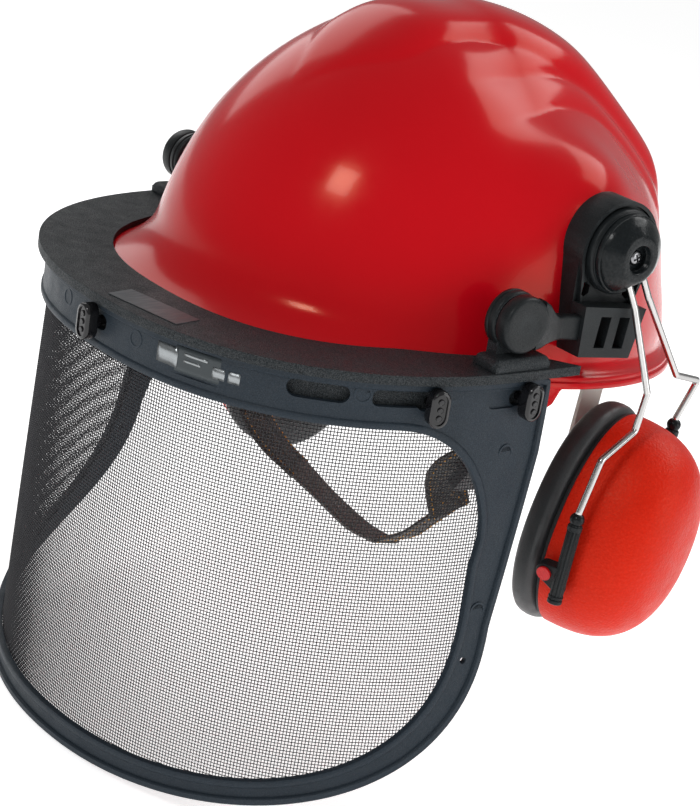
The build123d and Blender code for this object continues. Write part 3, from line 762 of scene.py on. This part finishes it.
def visor_frame():
    """The visor's frame: a moulded strip between its outer outline and the mesh opening."""
    outer = full_loop(frame_outline())
    inner = full_loop(mesh_outline())
    back = -SHEET_T
    # distance from the outer edge, height of the face there
    edge = [(0.4, back), (0.0, back + 0.5), (0.0, 0.9), (0.5, 1.4), (2.6, 1.4), (3.1, 0.9), (3.3, 0.0)]
    lip = [(3.4, 0.0), (3.0, 0.5), (2.6, 0.75), (0.9, 0.75), (0.2, 0.45), (0.0, -0.2), (0.0, back + 0.4),
           (0.4, back)]
    columns = [(inset(outer, d), h) for d, h in edge]
    last, first = inset(outer, 3.3), inset(inner, -3.4)
    for t in (0.2, 0.4, 0.6, 0.8):
        between = [(a[0] + (b[0] - a[0]) * t, a[1] + (b[1] - a[1]) * t) for a, b in zip(last, first)]
        columns.append((between, 0.0))
    columns += [(inset(inner, -d), h) for d, h in lip]
    for t in (0.25, 0.5, 0.75):
        columns.append(([(b[0] + (a[0] - b[0]) * t, b[1] + (a[1] - b[1]) * t) for a, b in zip(last, first)],
                        back))
    rings = [[visor_point(s, min(h, BAND_TOP), off) for s, h in col] for col, off in columns]
    obj = loft("visor_frame_moulding", rings, M["frame"], "visor", True, (False, False), 38.0, loop=True)
    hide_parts("visor_frame")
    return obj


frame_obj = visor_frame()


def slab(name, m, outline, z0, z1, mat=None, body=None):
    """Prism on matrix m from an outline of (x, y), from height z0 to z1."""
    rings = [[m @ Vector((x, y, z)) for x, y in outline] for z in (z0, z1)]
    return loft(name, rings, mat or M["frame"], body, True, (True, True), 30.0)


def slot_outline(length, width, steps=10):
    out = []
    r = width / 2
    for sx, start in ((1, -90), (-1, 90)):
        for i in range(steps + 1):
            a = math.radians(start + 180 * i / steps)
            out.append((sx * (length / 2 - r) + r * math.cos(a), r * math.sin(a)))
    return out


def round_rect(w, h, r, steps=5):
    out = []
    for cx, cy, start in ((w / 2 - r, h / 2 - r, 0), (-w / 2 + r, h / 2 - r, 90),
                          (-w / 2 + r, -h / 2 + r, 180),
                          (w / 2 - r, -h / 2 + r, 270)):
        for i in range(steps + 1):
            a = math.radians(start + 90 * i / steps)
            out.append((cx + r * math.cos(a), cy + r * math.sin(a)))
    return out


def carve(target, cutters, operation="DIFFERENCE"):
    """Cuts the cutters out of the target for good and removes them."""
    for cutter in cutters:
        mod = modifier(target, "BOOLEAN", operation=operation, object=cutter, solver="EXACT")
        bpy.context.view_layer.objects.active = target
        with bpy.context.temp_override(object=target, active_object=target, selected_objects=[target]):
            bpy.ops.object.modifier_apply(modifier=mod.name)
        bpy.data.objects.remove(cutter)
    shade(target, 38.0)


cutters = []
CLIPS = {"centre": 0.0, "mid_left": 155.0, "mid_right": -155.0, "outer_left": 199.0, "outer_right": -199.0}
for sign in (1, -1):
    cutters.append(slab("cut_slot", visor_frame_axes(sign * 108.5, -29.3), slot_outline(25.0, 7.6), -6, 6))
    cutters.append(slab("cut_window", visor_frame_axes(sign * 143.5, -29.6), round_rect(27, 6.8, 2.6), -6, 6))
    pocket_at = visor_frame_axes(sign * 189.0, -31.0)
    cutters.append(slab("cut_pocket", pocket_at, round_rect(15, 7.6, 2.6), -0.9, 6))
for s in CLIPS.values():
    cutters.append(slab("cut_clip", visor_frame_axes(s, -31.0), slot_outline(13.0, 6.6), -6, 6))
cutters.append(slab("cut_label", visor_frame_axes(58.0, -30.6), round_rect(45, 12.5, 1.2), -0.6, 6))
cutters.append(slab("cut_hole", visor_frame_axes(191.0, -141.0), slot_outline(3.02, 3.0, 8), -6, 6))
cutters.append(slab("cut_hole", visor_frame_axes(-191.0, -141.0), slot_outline(3.02, 3.0, 8), -6, 6))
carve(frame_obj, cutters)

# ejector marks: shallow rings on the face
for i, (s, h) in enumerate(((26, -30), (-26, -30), (126, -28.5), (195, -54.0), (-195, -54.0), (194, -120),
                            (-194, -120))):
    lathe(f"ejector_mark_{i}", [(2.9, -0.1), (2.9, 0.12), (3.3, 0.22), (3.7, 0.12), (3.7, -0.1)],
          visor_frame_axes(s, h), M["frame"], "visor", 40)


# ---------------------------------------------------------------- woven mesh
def inside_spans():
    """The opening's outline, grown a little so that the wires end under the frame."""
    return inset(full_loop(mesh_outline()), -2.2)


def spans(loop, axis, value):
    hits = []
    n = len(loop)
    for i in range(n):
        a, b = loop[i], loop[(i + 1) % n]
        if (a[axis] - value) * (b[axis] - value) < 0:
            f = (value - a[axis]) / (b[axis] - a[axis])
            hits.append(a[1 - axis] + f * (b[1 - axis] - a[1 - axis]))
    hits.sort()
    return (hits[0], hits[-1]) if len(hits) >= 2 else None


def woven():
    """The steel mesh: two sets of wires that pass over and under each other."""
    loop = inside_spans()
    verts, faces = [], []
    depth = -SHEET_T - 0.4
    r = MESH_WIRE / 2

    def wire(points):
        base = len(verts)
        n = len(points)
        for i, (s, h, off, along_s) in enumerate(points):
            for da, db in ((0.0, r), (-0.87 * r, -0.5 * r), (0.87 * r, -0.5 * r)):
                if along_s:
                    verts.append(visor_point(s, h + da, off + db))
                else:
                    verts.append(visor_point(s + da, h, off + db))
        for i in range(n - 1):
            for k in range(3):
                m = (k + 1) % 3
                faces.append((base + 3 * i + k, base + 3 * i + m, base + 3 * i + 3 + m, base + 3 * i + 3 + k))
        faces.append((base, base + 1, base + 2))
        faces.append((base + 3 * n - 3, base + 3 * n - 2, base + 3 * n - 1))

    p = MESH_PITCH
    sway = MESH_WIRE * 0.42
    for i in range(-140, 141):
        span = spans(loop, 0, i * p + 0.01)
        if span:
            rows = [j for j in range(int(span[0] / p) - 1, int(span[1] / p) + 2) if span[0] < j * p < span[1]]
            if len(rows) > 1:
                wire([(i * p, j * p, depth + (sway if (i + j) % 2 else -sway), False) for j in rows])
    for j in range(-160, -20):
        span = spans(loop, 1, j * p + 0.01)
        if span:
            cols = [i for i in range(int(span[0] / p) - 1, int(span[1] / p) + 2) if span[0] < i * p < span[1]]
            if len(cols) > 1:
                wire([(i * p, j * p, depth + (-sway if (i + j) % 2 else sway), True) for i in cols])
    obj = make("visor_woven_mesh", verts, faces, M["mesh"], "visor", False)
    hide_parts("visor_mesh")
    return obj


woven()


# ---------------------------------------------------------------- turn clips
def turn_clip(tag, s):
    m = visor_frame_axes(s, -31.0)
    body = "clip_" + tag
    tall = [(y, x) for x, y in slot_outline(15.6, 8.4, 12)]
    rings = []
    for z, k in ((2.3, 0.93), (2.7, 0.99), (3.2, 1.0), (6.6, 1.0), (7.5, 0.96), (8.0, 0.86)):
        rings.append([m @ Vector((x * k, y * (1 - (1 - k) * 0.55), z)) for x, y in tall])
    inner = [(x * 0.62, y * 0.80) for x, y in tall]
    rings.append([m @ Vector((x * 1.05, y * 1.02, 8.0)) for x, y in inner])
    rings.append([m @ Vector((x, y, 7.4)) for x, y in inner])
    obj = loft("turn_clip_head_" + tag, rings, M["clip"], body, True, (True, True), 50.0)
    for k, dy in enumerate((-3.4, 0.0, 3.4)):
        place = m @ Matrix.Translation((0, dy, 0))
        lathe(f"turn_clip_boss_{tag}_{k}", [(0.0, 7.3), (1.25, 7.3), (1.25, 7.8), (0.95, 8.0), (0.0, 8.0)],
              place,
              M["clip"], body, 24)
    stem = m
    lathe("turn_clip_stem_" + tag, [(0.0, -6.0), (1.7, -6.0), (2.0, -5.6), (2.0, 0.4), (3.0, 0.6), (3.0, 2.6),
                                    (0.0, 2.6)], stem, M["clip"], body, 32)
    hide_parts("turn_clip_" + tag)


for tag, s in CLIPS.items():
    turn_clip(tag, s)


# ---------------------------------------------------------------- labels, plain marks only
def band_label():
    rows, cols = 5, 24
    verts, faces = [], []
    for j in range(rows + 1):
        for i in range(cols + 1):
            verts.append(visor_point(37.0 + 42.0 * i / cols, -25.2 - 10.6 * j / rows, -0.25))
    for j in range(rows):
        for i in range(cols):
            a = j * (cols + 1) + i
            faces.append((a, a + 1, a + cols + 2, a + cols + 1))
    obj = make("band_label_foil", verts, faces, M["label_dark"], "visor")
    modifier(obj, "SOLIDIFY", thickness=0.0003, offset=0)
    for k, (s0, s1, h0, h1) in enumerate(((38.5, 49.0, -26.2, -34.6), (52, 63, -27.4, -28.6),
                                          (52, 60, -30.2, -31.2),
                                          (65.5, 71, -29.2, -33.8), (72.5, 77.5, -29.2, -33.8))):
        v = []
        for j in range(3):
            for i in range(7):
                v.append(visor_point(s0 + (s1 - s0) * i / 6, h0 + (h1 - h0) * j / 2, 0.0))
        f = [(j * 7 + i, j * 7 + i + 1, j * 7 + i + 8, j * 7 + i + 7) for j in range(2) for i in range(6)]
        patch = make(f"band_label_patch_{k}", v, f, M["foil"], "visor")
        modifier(patch, "SOLIDIFY", thickness=0.00012, offset=0)
    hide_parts("band_label")


band_label()

# ---------------------------------------------------------------- brow guard
keep("brow_guard", M["guard"], 0.9, 3, 35.0)
keep("brow_label", M["label_grey"])

# ---------------------------------------------------------------- CAD pieces that stay
for tag in ("left", "right"):
    keep("slot_adaptor_" + tag, M["fitting"], 0.7)
    keep("visor_pivot_" + tag, M["fitting"], 0.3)
    keep("yoke_wires_" + tag, M["wire"])
    keep("cup_rivets_" + tag, M["rivet"], 0.5)
    keep("seal_plate_" + tag, M["seal"], 0.3)
    keep("nape_strap_" + tag, M["white"], 0.3)
keep("headband", M["white"], 0.4)
keep("harness_anchors", M["white"], 0.5)
keep("strap_hangers", M["white"], 0.4)
keep("ratchet_housing", M["knob"], 0.5)
keep("ratchet_knob", M["knob"], 0.5)
keep("strap_sliders", M["slider"], 0.4)


# ---------------------------------------------------------------- hubs, visor arms
def axis_x(side, x, y, z, turn=0.0):
    """Matrix at a point whose z runs outwards along X, whose x runs rearwards and whose y is up."""
    c, s = math.cos(math.radians(turn)), math.sin(math.radians(turn))
    m = Matrix(((0, c, s), (0, -s, c), (side, 0, 0))).transposed().to_4x4()
    m.translation = Vector((side * x, y, z))
    return m


def hub(side, tag):
    place = axis_x(side, HUB_X, HUB_Y, HUB_Z, HUB_TURN)
    seat = [(0, -8.5), (17.4, -8.5), (18.1, -8.1), (18.2, -7.4), (18.2, -5.4), (18.0, -4.9), (17.5, -4.6),
            (17.3, -4.4), (17.3, -3.9), (17.1, -3.7), (0, -3.7)]
    obj = lathe("hub_seat_ring_" + tag, seat, place, M["fitting"], "helmet", 112, 40.0)
    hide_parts("hub_seat_" + tag)
    profile = [(0, -3.4), (16.7, -3.4), (17.1, -3.2), (17.2, -2.8), (17.2, -1.5), (17.0, -1.2),
               (16.5, -1.05), (16.3, -0.6), (15.6, 0.9), (13.2, 2.8), (10.7, 4.55), (10.0, 5.0),
               (9.5, 5.25), (9.0, 5.35), (6.7, 5.4), (6.2, 5.25), (5.9, 4.8), (5.7, 3.2), (5.4, 2.9),
               (5.3, 1.0), (0, 1.0)]
    rings = []
    for r, h in profile:
        ring = []
        for k in range(128):
            a = 2 * math.pi * k / 128
            ring.append(place @ Vector((max(r, 0.001) * math.cos(a), max(r * math.sin(a), -11.0), h)))
        rings.append(ring)
    obj = loft("hub_cap_dome_" + tag, rings, M["hub"], "hub_" + tag, True, (True, True), 40.0)
    modifier(obj, "BEVEL", width=0.35 * MM, segments=2, limit_method="ANGLE", angle_limit=math.radians(50))
    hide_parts("hub_cap_" + tag)
    head = [(0, 1.0), (2.9, 1.0), (3.2, 1.3), (3.2, 2.0), (2.9, 2.6), (2.2, 3.1), (1.2, 3.3), (0, 3.35)]
    obj = lathe("hub_screw_head_" + tag, head, place, M["chrome"], "helmet", 64, 40.0)
    cross = []
    for w, h in ((0.9, 3.8), (3.8, 0.9)):
        cross.append(slab("cut_cross", place,
                          [(-w / 2, -h / 2), (w / 2, -h / 2), (w / 2, h / 2), (-w / 2, h / 2)],
                          2.2, 6.0))
    carve(obj, cross)
    modifier(obj, "BEVEL", width=0.12 * MM, segments=2, limit_method="ANGLE", angle_limit=math.radians(40))
    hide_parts("hub_screw_" + tag)


def visor_arm(side, tag):
    place = axis_x(side, 0, PIVOT_Y, PIVOT_Z)
    disc = [(0, 117.0), (10.9, 117.0), (11.6, 117.4), (11.8, 118.2), (11.8, 121.9), (11.5, 122.8),
            (10.8, 123.4), (9.8, 123.6), (7.0, 123.4), (3.0, 123.1), (0, 123.0)]
    obj = lathe("visor_arm_disc_" + tag, disc, place, M["fitting"], "helmet", 96, 40.0)
    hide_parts("visor_arm_" + tag)
    rings = []
    # distance along Y, inner and outer X, half height, and height of the middle
    for y, x0, x1, half, mid in ((-1.2, 112.5, 117.2, 5.2, 28.2), (-14.0, 112.5, 117.2, 5.2, 28.2),
                                 (-17.5, 112.7, 118.6, 5.2, 28.3), (-20.5, 115.2, 119.8, 5.4, 28.5),
                                 (-23.5, 117.1, 120.8, 6.2, 28.9), (-26.5, 117.1, 121.6, 7.5, 29.5),
                                 (-29.5, 117.1, 122.4, 9.2, 30.0), (-33.0, 117.1, 122.8, 10.4, 30.4)):
        ring = []
        for u, v in round_rect(x1 - x0, 2 * half, 1.1, 4):
            ring.append(Vector((side * ((x0 + x1) / 2 + u), y, mid + v)))
        rings.append(ring)
    loft("visor_arm_bar_" + tag, rings, M["fitting"], "helmet", True, (True, True), 45.0)
    lug = [(0, 110.3), (11.2, 110.3), (11.9, 110.8), (12.1, 111.5), (12.1, 112.2), (11.6, 112.6),
           (11.6, 113.3), (12.1, 113.7), (12.1, 115.2), (11.8, 115.9), (11.2, 116.3), (0, 116.5)]
    lathe("visor_lug_disc_" + tag, lug, place, M["fitting"], "visor", 96, 40.0)
    turn = Matrix.Rotation(math.radians(VISOR_LEAN), 4, "X")
    pad_at = Vector((0, PIVOT_Y, PIVOT_Z)) + turn.to_3x3() @ Vector((side * 117.6, 0.5, BAND_TOP + 5.6))
    box_mesh("guard_pad_" + tag, pad_at, (14.8, 30.0, 7.0), turn, M["guard"], "visor", 2.9, 6)


def circle(r, step):
    """Points of a circle, step degrees apart."""
    return [(r * math.cos(math.radians(a)), r * math.sin(math.radians(a))) for a in range(0, 360, step)]


def hull(points):
    """Convex outline round a set of (x, y) points."""
    pts = sorted(set((round(x, 4), round(y, 4)) for x, y in points))
    out = []
    for run in (pts, pts[::-1]):
        part = []
        for q in run:
            while len(part) > 1 and ((part[-1][0] - part[-2][0]) * (q[1] - part[-2][1])
                                     - (part[-1][1] - part[-2][1]) * (q[0] - part[-2][0])) <= 0:
                part.pop()
            part.append(q)
        out += part[:-1]
    return out


def holder(side, tag, end, rivet, name):
    """Ribbed bar that clamps the wire, with a collar at each end and a paddle out to the rivet."""
    along = sided(side, SLIDE)
    m = along.to_track_quat("Z", "Y").to_matrix().to_4x4()
    m.translation = sided(side, end)
    rings = []
    for t, k in ((5.0, 0.9), (5.4, 1.0), (22.0, 1.0), (40.4, 1.0), (41.0, 0.9)):
        ring = []
        for i in range(96):
            a = 2 * math.pi * i / 96
            r = (BAR_R + BAR_RIB * math.cos(BAR_RIBS * a)) * k
            ring.append(m @ Vector((r * math.cos(a), r * math.sin(a), t)))
        rings.append(ring)
    obj = loft(f"holder_bar_{name}_{tag}", rings, M["fitting"], "carrier_" + tag, True, (True, True), 60.0)
    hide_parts(f"{name}_holder_{tag}")
    for k, (t0, t1) in enumerate(((5.6, 8.0), (37.6, 38.9), (39.3, 41.2))):
        collar = [(0, t0), (COLLAR_R - 0.4, t0), (COLLAR_R, t0 + 0.3), (COLLAR_R, t1 - 0.3),
                  (COLLAR_R - 0.4, t1), (0, t1)]
        lathe(f"holder_collar_{name}_{tag}_{k}", collar, m, M["fitting"], "carrier_" + tag, 64, 40.0)
    ball = [(0.0, 0.2), (1.5, 0.3), (2.4, 0.9), (3.0, 1.9), (3.2, 2.9), (3.0, 4.0), (2.5, 4.9), (2.3, 5.3),
            (0, 5.3)]
    cap = lathe(f"holder_ball_{name}_{tag}", ball, m, M["hub"], "carrier_" + tag, 64, 50.0)
    axis = (REAR_RIVET - FRONT_RIVET).normalized()
    x_dir = (SLIDE - axis * SLIDE.dot(axis)).normalized()
    y_dir = axis.cross(x_dir)
    frame_at = Matrix((sided(side, x_dir), sided(side, y_dir), sided(side, axis))).transposed().to_4x4()
    frame_at.translation = sided(side, rivet)
    spots = circle(EYE_R, 10)
    for t in (26.0, 38.5):
        d = end + SLIDE * t - rivet
        spots += [(d.dot(x_dir) + u, d.dot(y_dir) + v) for u, v in circle(1.2, 30)]
    low = (end + SLIDE * 30 - rivet).dot(axis)
    lo, hi = min(low - 0.9, -1.9), max(low + 0.9, 1.9)
    paddle = slab(f"holder_paddle_{name}_{tag}", frame_at, hull(spots), lo, hi, M["fitting"],
                  "carrier_" + tag)
    modifier(paddle, "BEVEL", width=0.5 * MM, segments=3, limit_method="ANGLE", angle_limit=math.radians(40))
    return cap


for side, tag in ((1, "left"), (-1, "right")):
    hub(side, tag)
    visor_arm(side, tag)
    cap = holder(side, tag, FRONT_END, FRONT_RIVET, "front")
    holder(side, tag, REAR_END, REAR_RIVET, "rear")
    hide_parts("holder_caps_" + tag)


# ---------------------------------------------------------------- chin harness
def strap(name, points, width, thick, mat, body, twist=(0.0, 0.0), stitched=True, sag=0.0, steps=90,
          across=(0, 1, 0)):
    """Webbing strap along the points. Its width runs along across, turned by twist degrees at each end."""
    path = spline(points, steps)
    half = width / 2

    def wide(i):
        t = i / (steps - 1)
        a = math.radians(twist[0] + (twist[1] - twist[0]) * smooth_step(0, 1, t))
        tangent = (path[min(i + 1, steps - 1)] - path[max(i - 1, 0)]).normalized()
        return Matrix.Rotation(a, 3, tangent) @ Vector(across)

    edge = thick / 2
    outline = []
    cols = 12
    for k in range(cols + 1):
        v = -half + width * k / cols
        outline.append((v, edge * (0.55 if k in (0, cols) else 1.0) + 0.12 * math.cos(v * 0.9)))
    for k in range(cols, -1, -1):
        v = -half + width * k / cols
        outline.append((v, -edge * (0.55 if k in (0, cols) else 1.0)))
    rings = sweep(path, lambda i, t: [(a, b + sag * math.sin(9 * t + 0.2 * a)) for a, b in outline], wide)
    obj = loft(name, rings, mat, body, True, (True, True), 50.0)
    layer = obj.data.uv_layers.new(name="strap")
    n = len(outline)
    length = sum((b - a).length for a, b in zip(path[:-1], path[1:]))
    for poly in obj.data.polygons:
        for li in poly.loop_indices:
            vi = obj.data.loops[li].vertex_index
            layer.data[li].uv = (length * (vi // n) / (steps - 1), outline[vi % n][0])
    if stitched:
        verts, faces = [], []
        count = int(length / 2.6)
        fine = resample(path, count * 2)
        for j in range(0, count * 2 - 1, 2):
            i = min(int(j / (count * 2 - 1) * (steps - 1)), steps - 2)
            a, b = fine[j], fine[j + 1]
            tangent = (b - a).normalized()
            side_dir = wide(i)
            side_dir = (side_dir - tangent * side_dir.dot(tangent)).normalized()
            up = tangent.cross(side_dir)
            for v in (-half + 1.9, half - 1.9):
                for face in (1, -1):
                    base = len(verts)
                    mid = up * face * (edge + 0.16)
                    for p, lift in ((a, 0.0), ((a + b) / 2, 0.22), (b, 0.0)):
                        for du, dn in ((-0.24, -0.2), (-0.16, 0.14), (0.16, 0.14), (0.24, -0.2)):
                            verts.append(p + side_dir * (v + du) + mid + up * face * (dn + lift))
                    for r in (0, 4):
                        for k in range(4):
                            m = (k + 1) % 4
                            faces.append((base + r + k, base + r + m, base + r + 4 + m, base + r + 4 + k))
                    faces.append((base, base + 1, base + 2, base + 3))
                    faces.append((base + 8, base + 9, base + 10, base + 11))
        make(name + "_stitching", verts, faces, M["stitch"], body)
    return obj


LEFT_PATH = [(90, 3, 4), (88, 2, -20), (79, -3, -38), (67, -5, -52), (60, 1, -64), (58, 9, -78)]
TAIL_PATH = [(59, 6, -71), (56, 9, -77.5), (47, 8, -88), (37, 9, -98), (21, 10, -108)]
RIGHT_PATH = [(-90, 3, 4), (-89, 0, -26), (-82, -5, -56), (-70, -6, -79), (-59, 1, -92), (-47, 10, -101)]
BAND_PATH = [(-50, 8, -99), (-36, 13, -105.5), (-20, 14, -109), (0, 13, -111), (22, 10, -108.5)]
obj = strap("chin_webbing_left", LEFT_PATH, STRAP_W, STRAP_T, M["strap"], "helmet", (0, 10), True, 0.3)
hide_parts("chin_strap_left")
strap("chin_webbing_tail", TAIL_PATH, TAIL_W, CHIN_T, M["strap"], "helmet", (0, 0), True, 0.2)
obj = strap("chin_webbing_right", RIGHT_PATH, STRAP_W, STRAP_T, M["strap"], "helmet", (0, -8), True, 0.3)
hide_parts("chin_strap_right")
obj = strap("chin_band_webbing", BAND_PATH, CHIN_W, CHIN_T, M["chin"], "helmet", (0, 0), False, 0.2)
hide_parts("chin_band")


# ---------------------------------------------------------------- crown straps and sweatband
def over_head(half_width, height, at_y=None):
    """Arc of points over the head, across it at at_y or, without at_y, from front to back."""
    out = []
    start = math.degrees(math.asin(19.5 / height))
    for i in range(25):
        a = math.radians(start + (180 - 2 * start) * i / 24)
        u, z = half_width * math.cos(a), height * math.sin(a)
        out.append((u, at_y, z) if at_y is not None else (0, 2 + u, z))
    return out


obj = strap("crown_webbing_long", over_head(103.8, 97.2), CROWN_W, CROWN_T, M["crown"], "helmet", (0, 0),
            True, 0.2, 120, (1, 0, 0))
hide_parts("crown_strap_long")
for k, y in enumerate((-28, 24)):
    obj = strap(f"crown_webbing_cross_{k}", over_head(80.2, 99.1, y), CROWN_W, CROWN_T, M["crown"],
                "helmet", (0, 0), True, 0.2, 120)
    if k == 0:
        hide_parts("crown_straps_cross")


def sweat_pad():
    """Foam pad folded over the front of the headband."""
    rings = []
    around = 150
    for i in range(around + 1):
        t = -1 + 2 * i / around
        a = math.radians(-90 + 83 * t)
        thin = 1 - abs(t) ** 26
        radial = Vector((math.cos(a) / 75.3, math.sin(a) / 95.8, 0)).normalized()
        mid = Vector((SWEAT_A * math.cos(a), SWEAT_CY + SWEAT_B * math.sin(a), 10.0))
        ripple = 0.22 * math.sin(31 * a) * math.sin(13 * a + 0.7)
        ring = []
        for k in range(40):
            b = 2 * math.pi * k / 40
            u = signed_power(math.cos(b), 0.7)
            v = signed_power(math.sin(b), 0.5)
            quilt = 0.30 * math.cos(math.pi * v * 2.0)
            across = radial * (u * (1.7 + quilt + ripple * 0.4) * thin)
            ring.append(mid + across + Vector((0, 0, v * (SWEAT_HALF + ripple) * thin)))
        rings.append(ring)
    obj = loft("sweat_pad_foam", rings, M["sweat"], "helmet", True, (True, True), 180.0)
    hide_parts("sweatband")


sweat_pad()


# ---------------------------------------------------------------- ear cups and cushions
def cup_axes(side):
    w = Vector((0, math.sin(math.radians(CUP_LEAN)), math.cos(math.radians(CUP_LEAN))))
    w = (w - CUP_N * w.dot(CUP_N)).normalized()
    u = w.cross(CUP_N).normalized()
    v = CUP_N.cross(u)
    m = Matrix((sided(side, u), sided(side, v), sided(side, CUP_N))).transposed().to_4x4()
    m.translation = sided(side, CUP_C)
    return m


def egg(a, b, k, count, power=2.15):
    """Rounded oval, k times the size."""
    out = []
    for i in range(count):
        t = 2 * math.pi * i / count
        c, s = math.cos(t), math.sin(t)
        out.append((a * k * signed_power(c, 2 / power), b * k * signed_power(s, 2 / power)))
    return out


def ear_cup(side, tag):
    m = cup_axes(side)
    rings = []
    count = 128
    steps = 40
    rings.append([m @ Vector((x, y, 0.0)) for x, y in egg(CUP_A, CUP_B, 0.93, count)])
    rings.append([m @ Vector((x, y, 0.0)) for x, y in egg(CUP_A, CUP_B, 0.985, count)])
    rings.append([m @ Vector((x, y, 0.5)) for x, y in egg(CUP_A, CUP_B, 1.0, count)])
    for i in range(steps + 1):
        z = 0.9 + (CUP_D - 0.9) * math.sin(math.radians(89.6 * i / steps))
        k = max(0.0, 1.0 - (z / (CUP_D + 0.15)) ** CUP_POWER) ** (1.0 / CUP_POWER)
        rings.append([m @ Vector((x, y, z)) for x, y in egg(CUP_A, CUP_B, k, count)])
    obj = loft("ear_cup_shell_" + tag, rings, M["cup"], "cup_" + tag, True, (True, True), 60.0)
    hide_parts("ear_cup_" + tag)


def ear_cushion(side, tag):
    m = cup_axes(side)
    count = 144
    section = []
    # cross-section of the ring: t across from the outer wall to the hole, z towards the head
    for i in range(28):
        a = 2 * math.pi * i / 28
        section.append((signed_power(math.cos(a), 0.78), signed_power(math.sin(a), 0.72)))
    rings = []
    for t, z in section:
        ring = []
        for k in range(count):
            a = 2 * math.pi * k / count
            c, s = math.cos(a), math.sin(a)
            ox, oy = 36.8 * signed_power(c, 0.93), 50.4 * signed_power(s, 0.93)
            ix, iy = 18.5 * c, 31.5 * s
            pucker = 0.16 * math.sin(46 * a + 3 * t) * max(0.0, -t) * (1 - abs(z))
            f = 0.5 - 0.5 * t + 0.01 * math.sin(3 * a + 1.0)
            x, y = ox + (ix - ox) * f, oy + (iy - oy) * f
            depth = -8.45 - (6.45 + pucker) * z + 0.35 * math.sin(2 * a + 0.6) * max(0.0, z)
            ring.append(m @ Vector((x, y, depth)))
        rings.append(ring)
    obj = loft("ear_cushion_pad_" + tag, rings, M["leather"], "cup_" + tag, True, (False, False), 180.0,
               loop=True)
    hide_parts("ear_cushion_" + tag)


def cup_lining(side, tag):
    m = cup_axes(side)
    rings = []
    for z, k in ((21.0, 0.6), (21.0, 0.94), (21.6, 0.99), (24.5, 1.0), (27.3, 0.99), (28.0, 0.95),
                 (28.0, 0.6)):
        rings.append([m @ Vector((x, y, z)) for x, y in egg(23.0, 37.0, k, 96)])
    obj = loft("cup_lining_" + tag, rings, M["foam"], "cup_" + tag, True, (True, True), 60.0)
    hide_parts("cup_foam_" + tag)


for side, tag in ((1, "left"), (-1, "right")):
    ear_cup(side, tag)
    ear_cushion(side, tag)
    cup_lining(side, tag)


# ---------------------------------------------------------------- floor, light, camera
def look(obj, location, target):
    obj.location = location
    obj.rotation_euler = (Vector(target) - Vector(location)).to_track_quat("-Z", "Y").to_euler()


def area(name, location, target, size, power, colour=(1, 1, 1)):
    data = bpy.data.lights.new(name, "AREA")
    data.shape = "RECTANGLE"
    data.size, data.size_y = size
    data.energy = power
    data.color = colour
    obj = bpy.data.objects.new(name, data)
    bpy.context.scene.collection.objects.link(obj)
    look(obj, location, target)
    return obj


floor = bpy.data.meshes.new("floor")
lowest = cad_bounds[0][2] - 0.002
corners = [(x * FLOOR_HALF, y * FLOOR_HALF, lowest) for x, y in ((-1, -1), (1, -1), (1, 1), (-1, 1))]
floor.from_pydata(corners, [], [(0, 1, 2, 3)])
floor_obj = bpy.data.objects.new("floor", floor)
bpy.context.scene.collection.objects.link(floor_obj)
mat, tree, bsdf = shader_nodes("floor_white")
bsdf.inputs["Base Color"].default_value = (0.90, 0.90, 0.90, 1)
bsdf.inputs["Roughness"].default_value = 1.0
bsdf.inputs["Specular IOR Level"].default_value = 0.0
bsdf.inputs["Emission Color"].default_value = (1, 1, 1, 1)
bsdf.inputs["Emission Strength"].default_value = 0.70
floor_obj.data.materials.append(mat)

world = bpy.data.worlds.new("studio")
bpy.context.scene.world = world
world.use_nodes = True
world.node_tree.nodes["Background"].inputs["Color"].default_value = (1, 1, 1, 1)
world.node_tree.nodes["Background"].inputs["Strength"].default_value = 0.30
area("key", (0.5, -1.6, 1.3), (0.02, 0, 0), (0.4, 0.4), 9)
area("side", (1.9, 0.9, 0.5), (0, 0, 0), (1.2, 1.2), 10)
area("top_rear", (0.3, 1.3, 1.6), (0, 0, 0.05), (1.6, 1.0), 15)
area("left_rear", (-1.6, 0.2, 1.0), (0, 0, 0.05), (1.0, 1.2), 6)

TARGET = Vector((0.01449, -0.02454, -0.04339))
RIGHT = Vector((0.6053, 0.7624, 0.2285)).normalized()
BACK = Vector((0.7113, -0.6470, 0.2746)).normalized()
UP = BACK.cross(RIGHT)
camera = bpy.data.cameras.new("camera")
camera.lens = 101.0
camera.sensor_width = 36.0
camera.clip_end = 50.0
camera_obj = bpy.data.objects.new("camera", camera)
bpy.context.scene.collection.objects.link(camera_obj)
matrix = Matrix((RIGHT, UP, BACK)).transposed().to_4x4()
matrix.translation = TARGET + BACK * 0.9998
camera_obj.matrix_world = matrix
bpy.context.scene.camera = camera_obj
bpy.context.scene.view_settings.view_transform = "Standard"
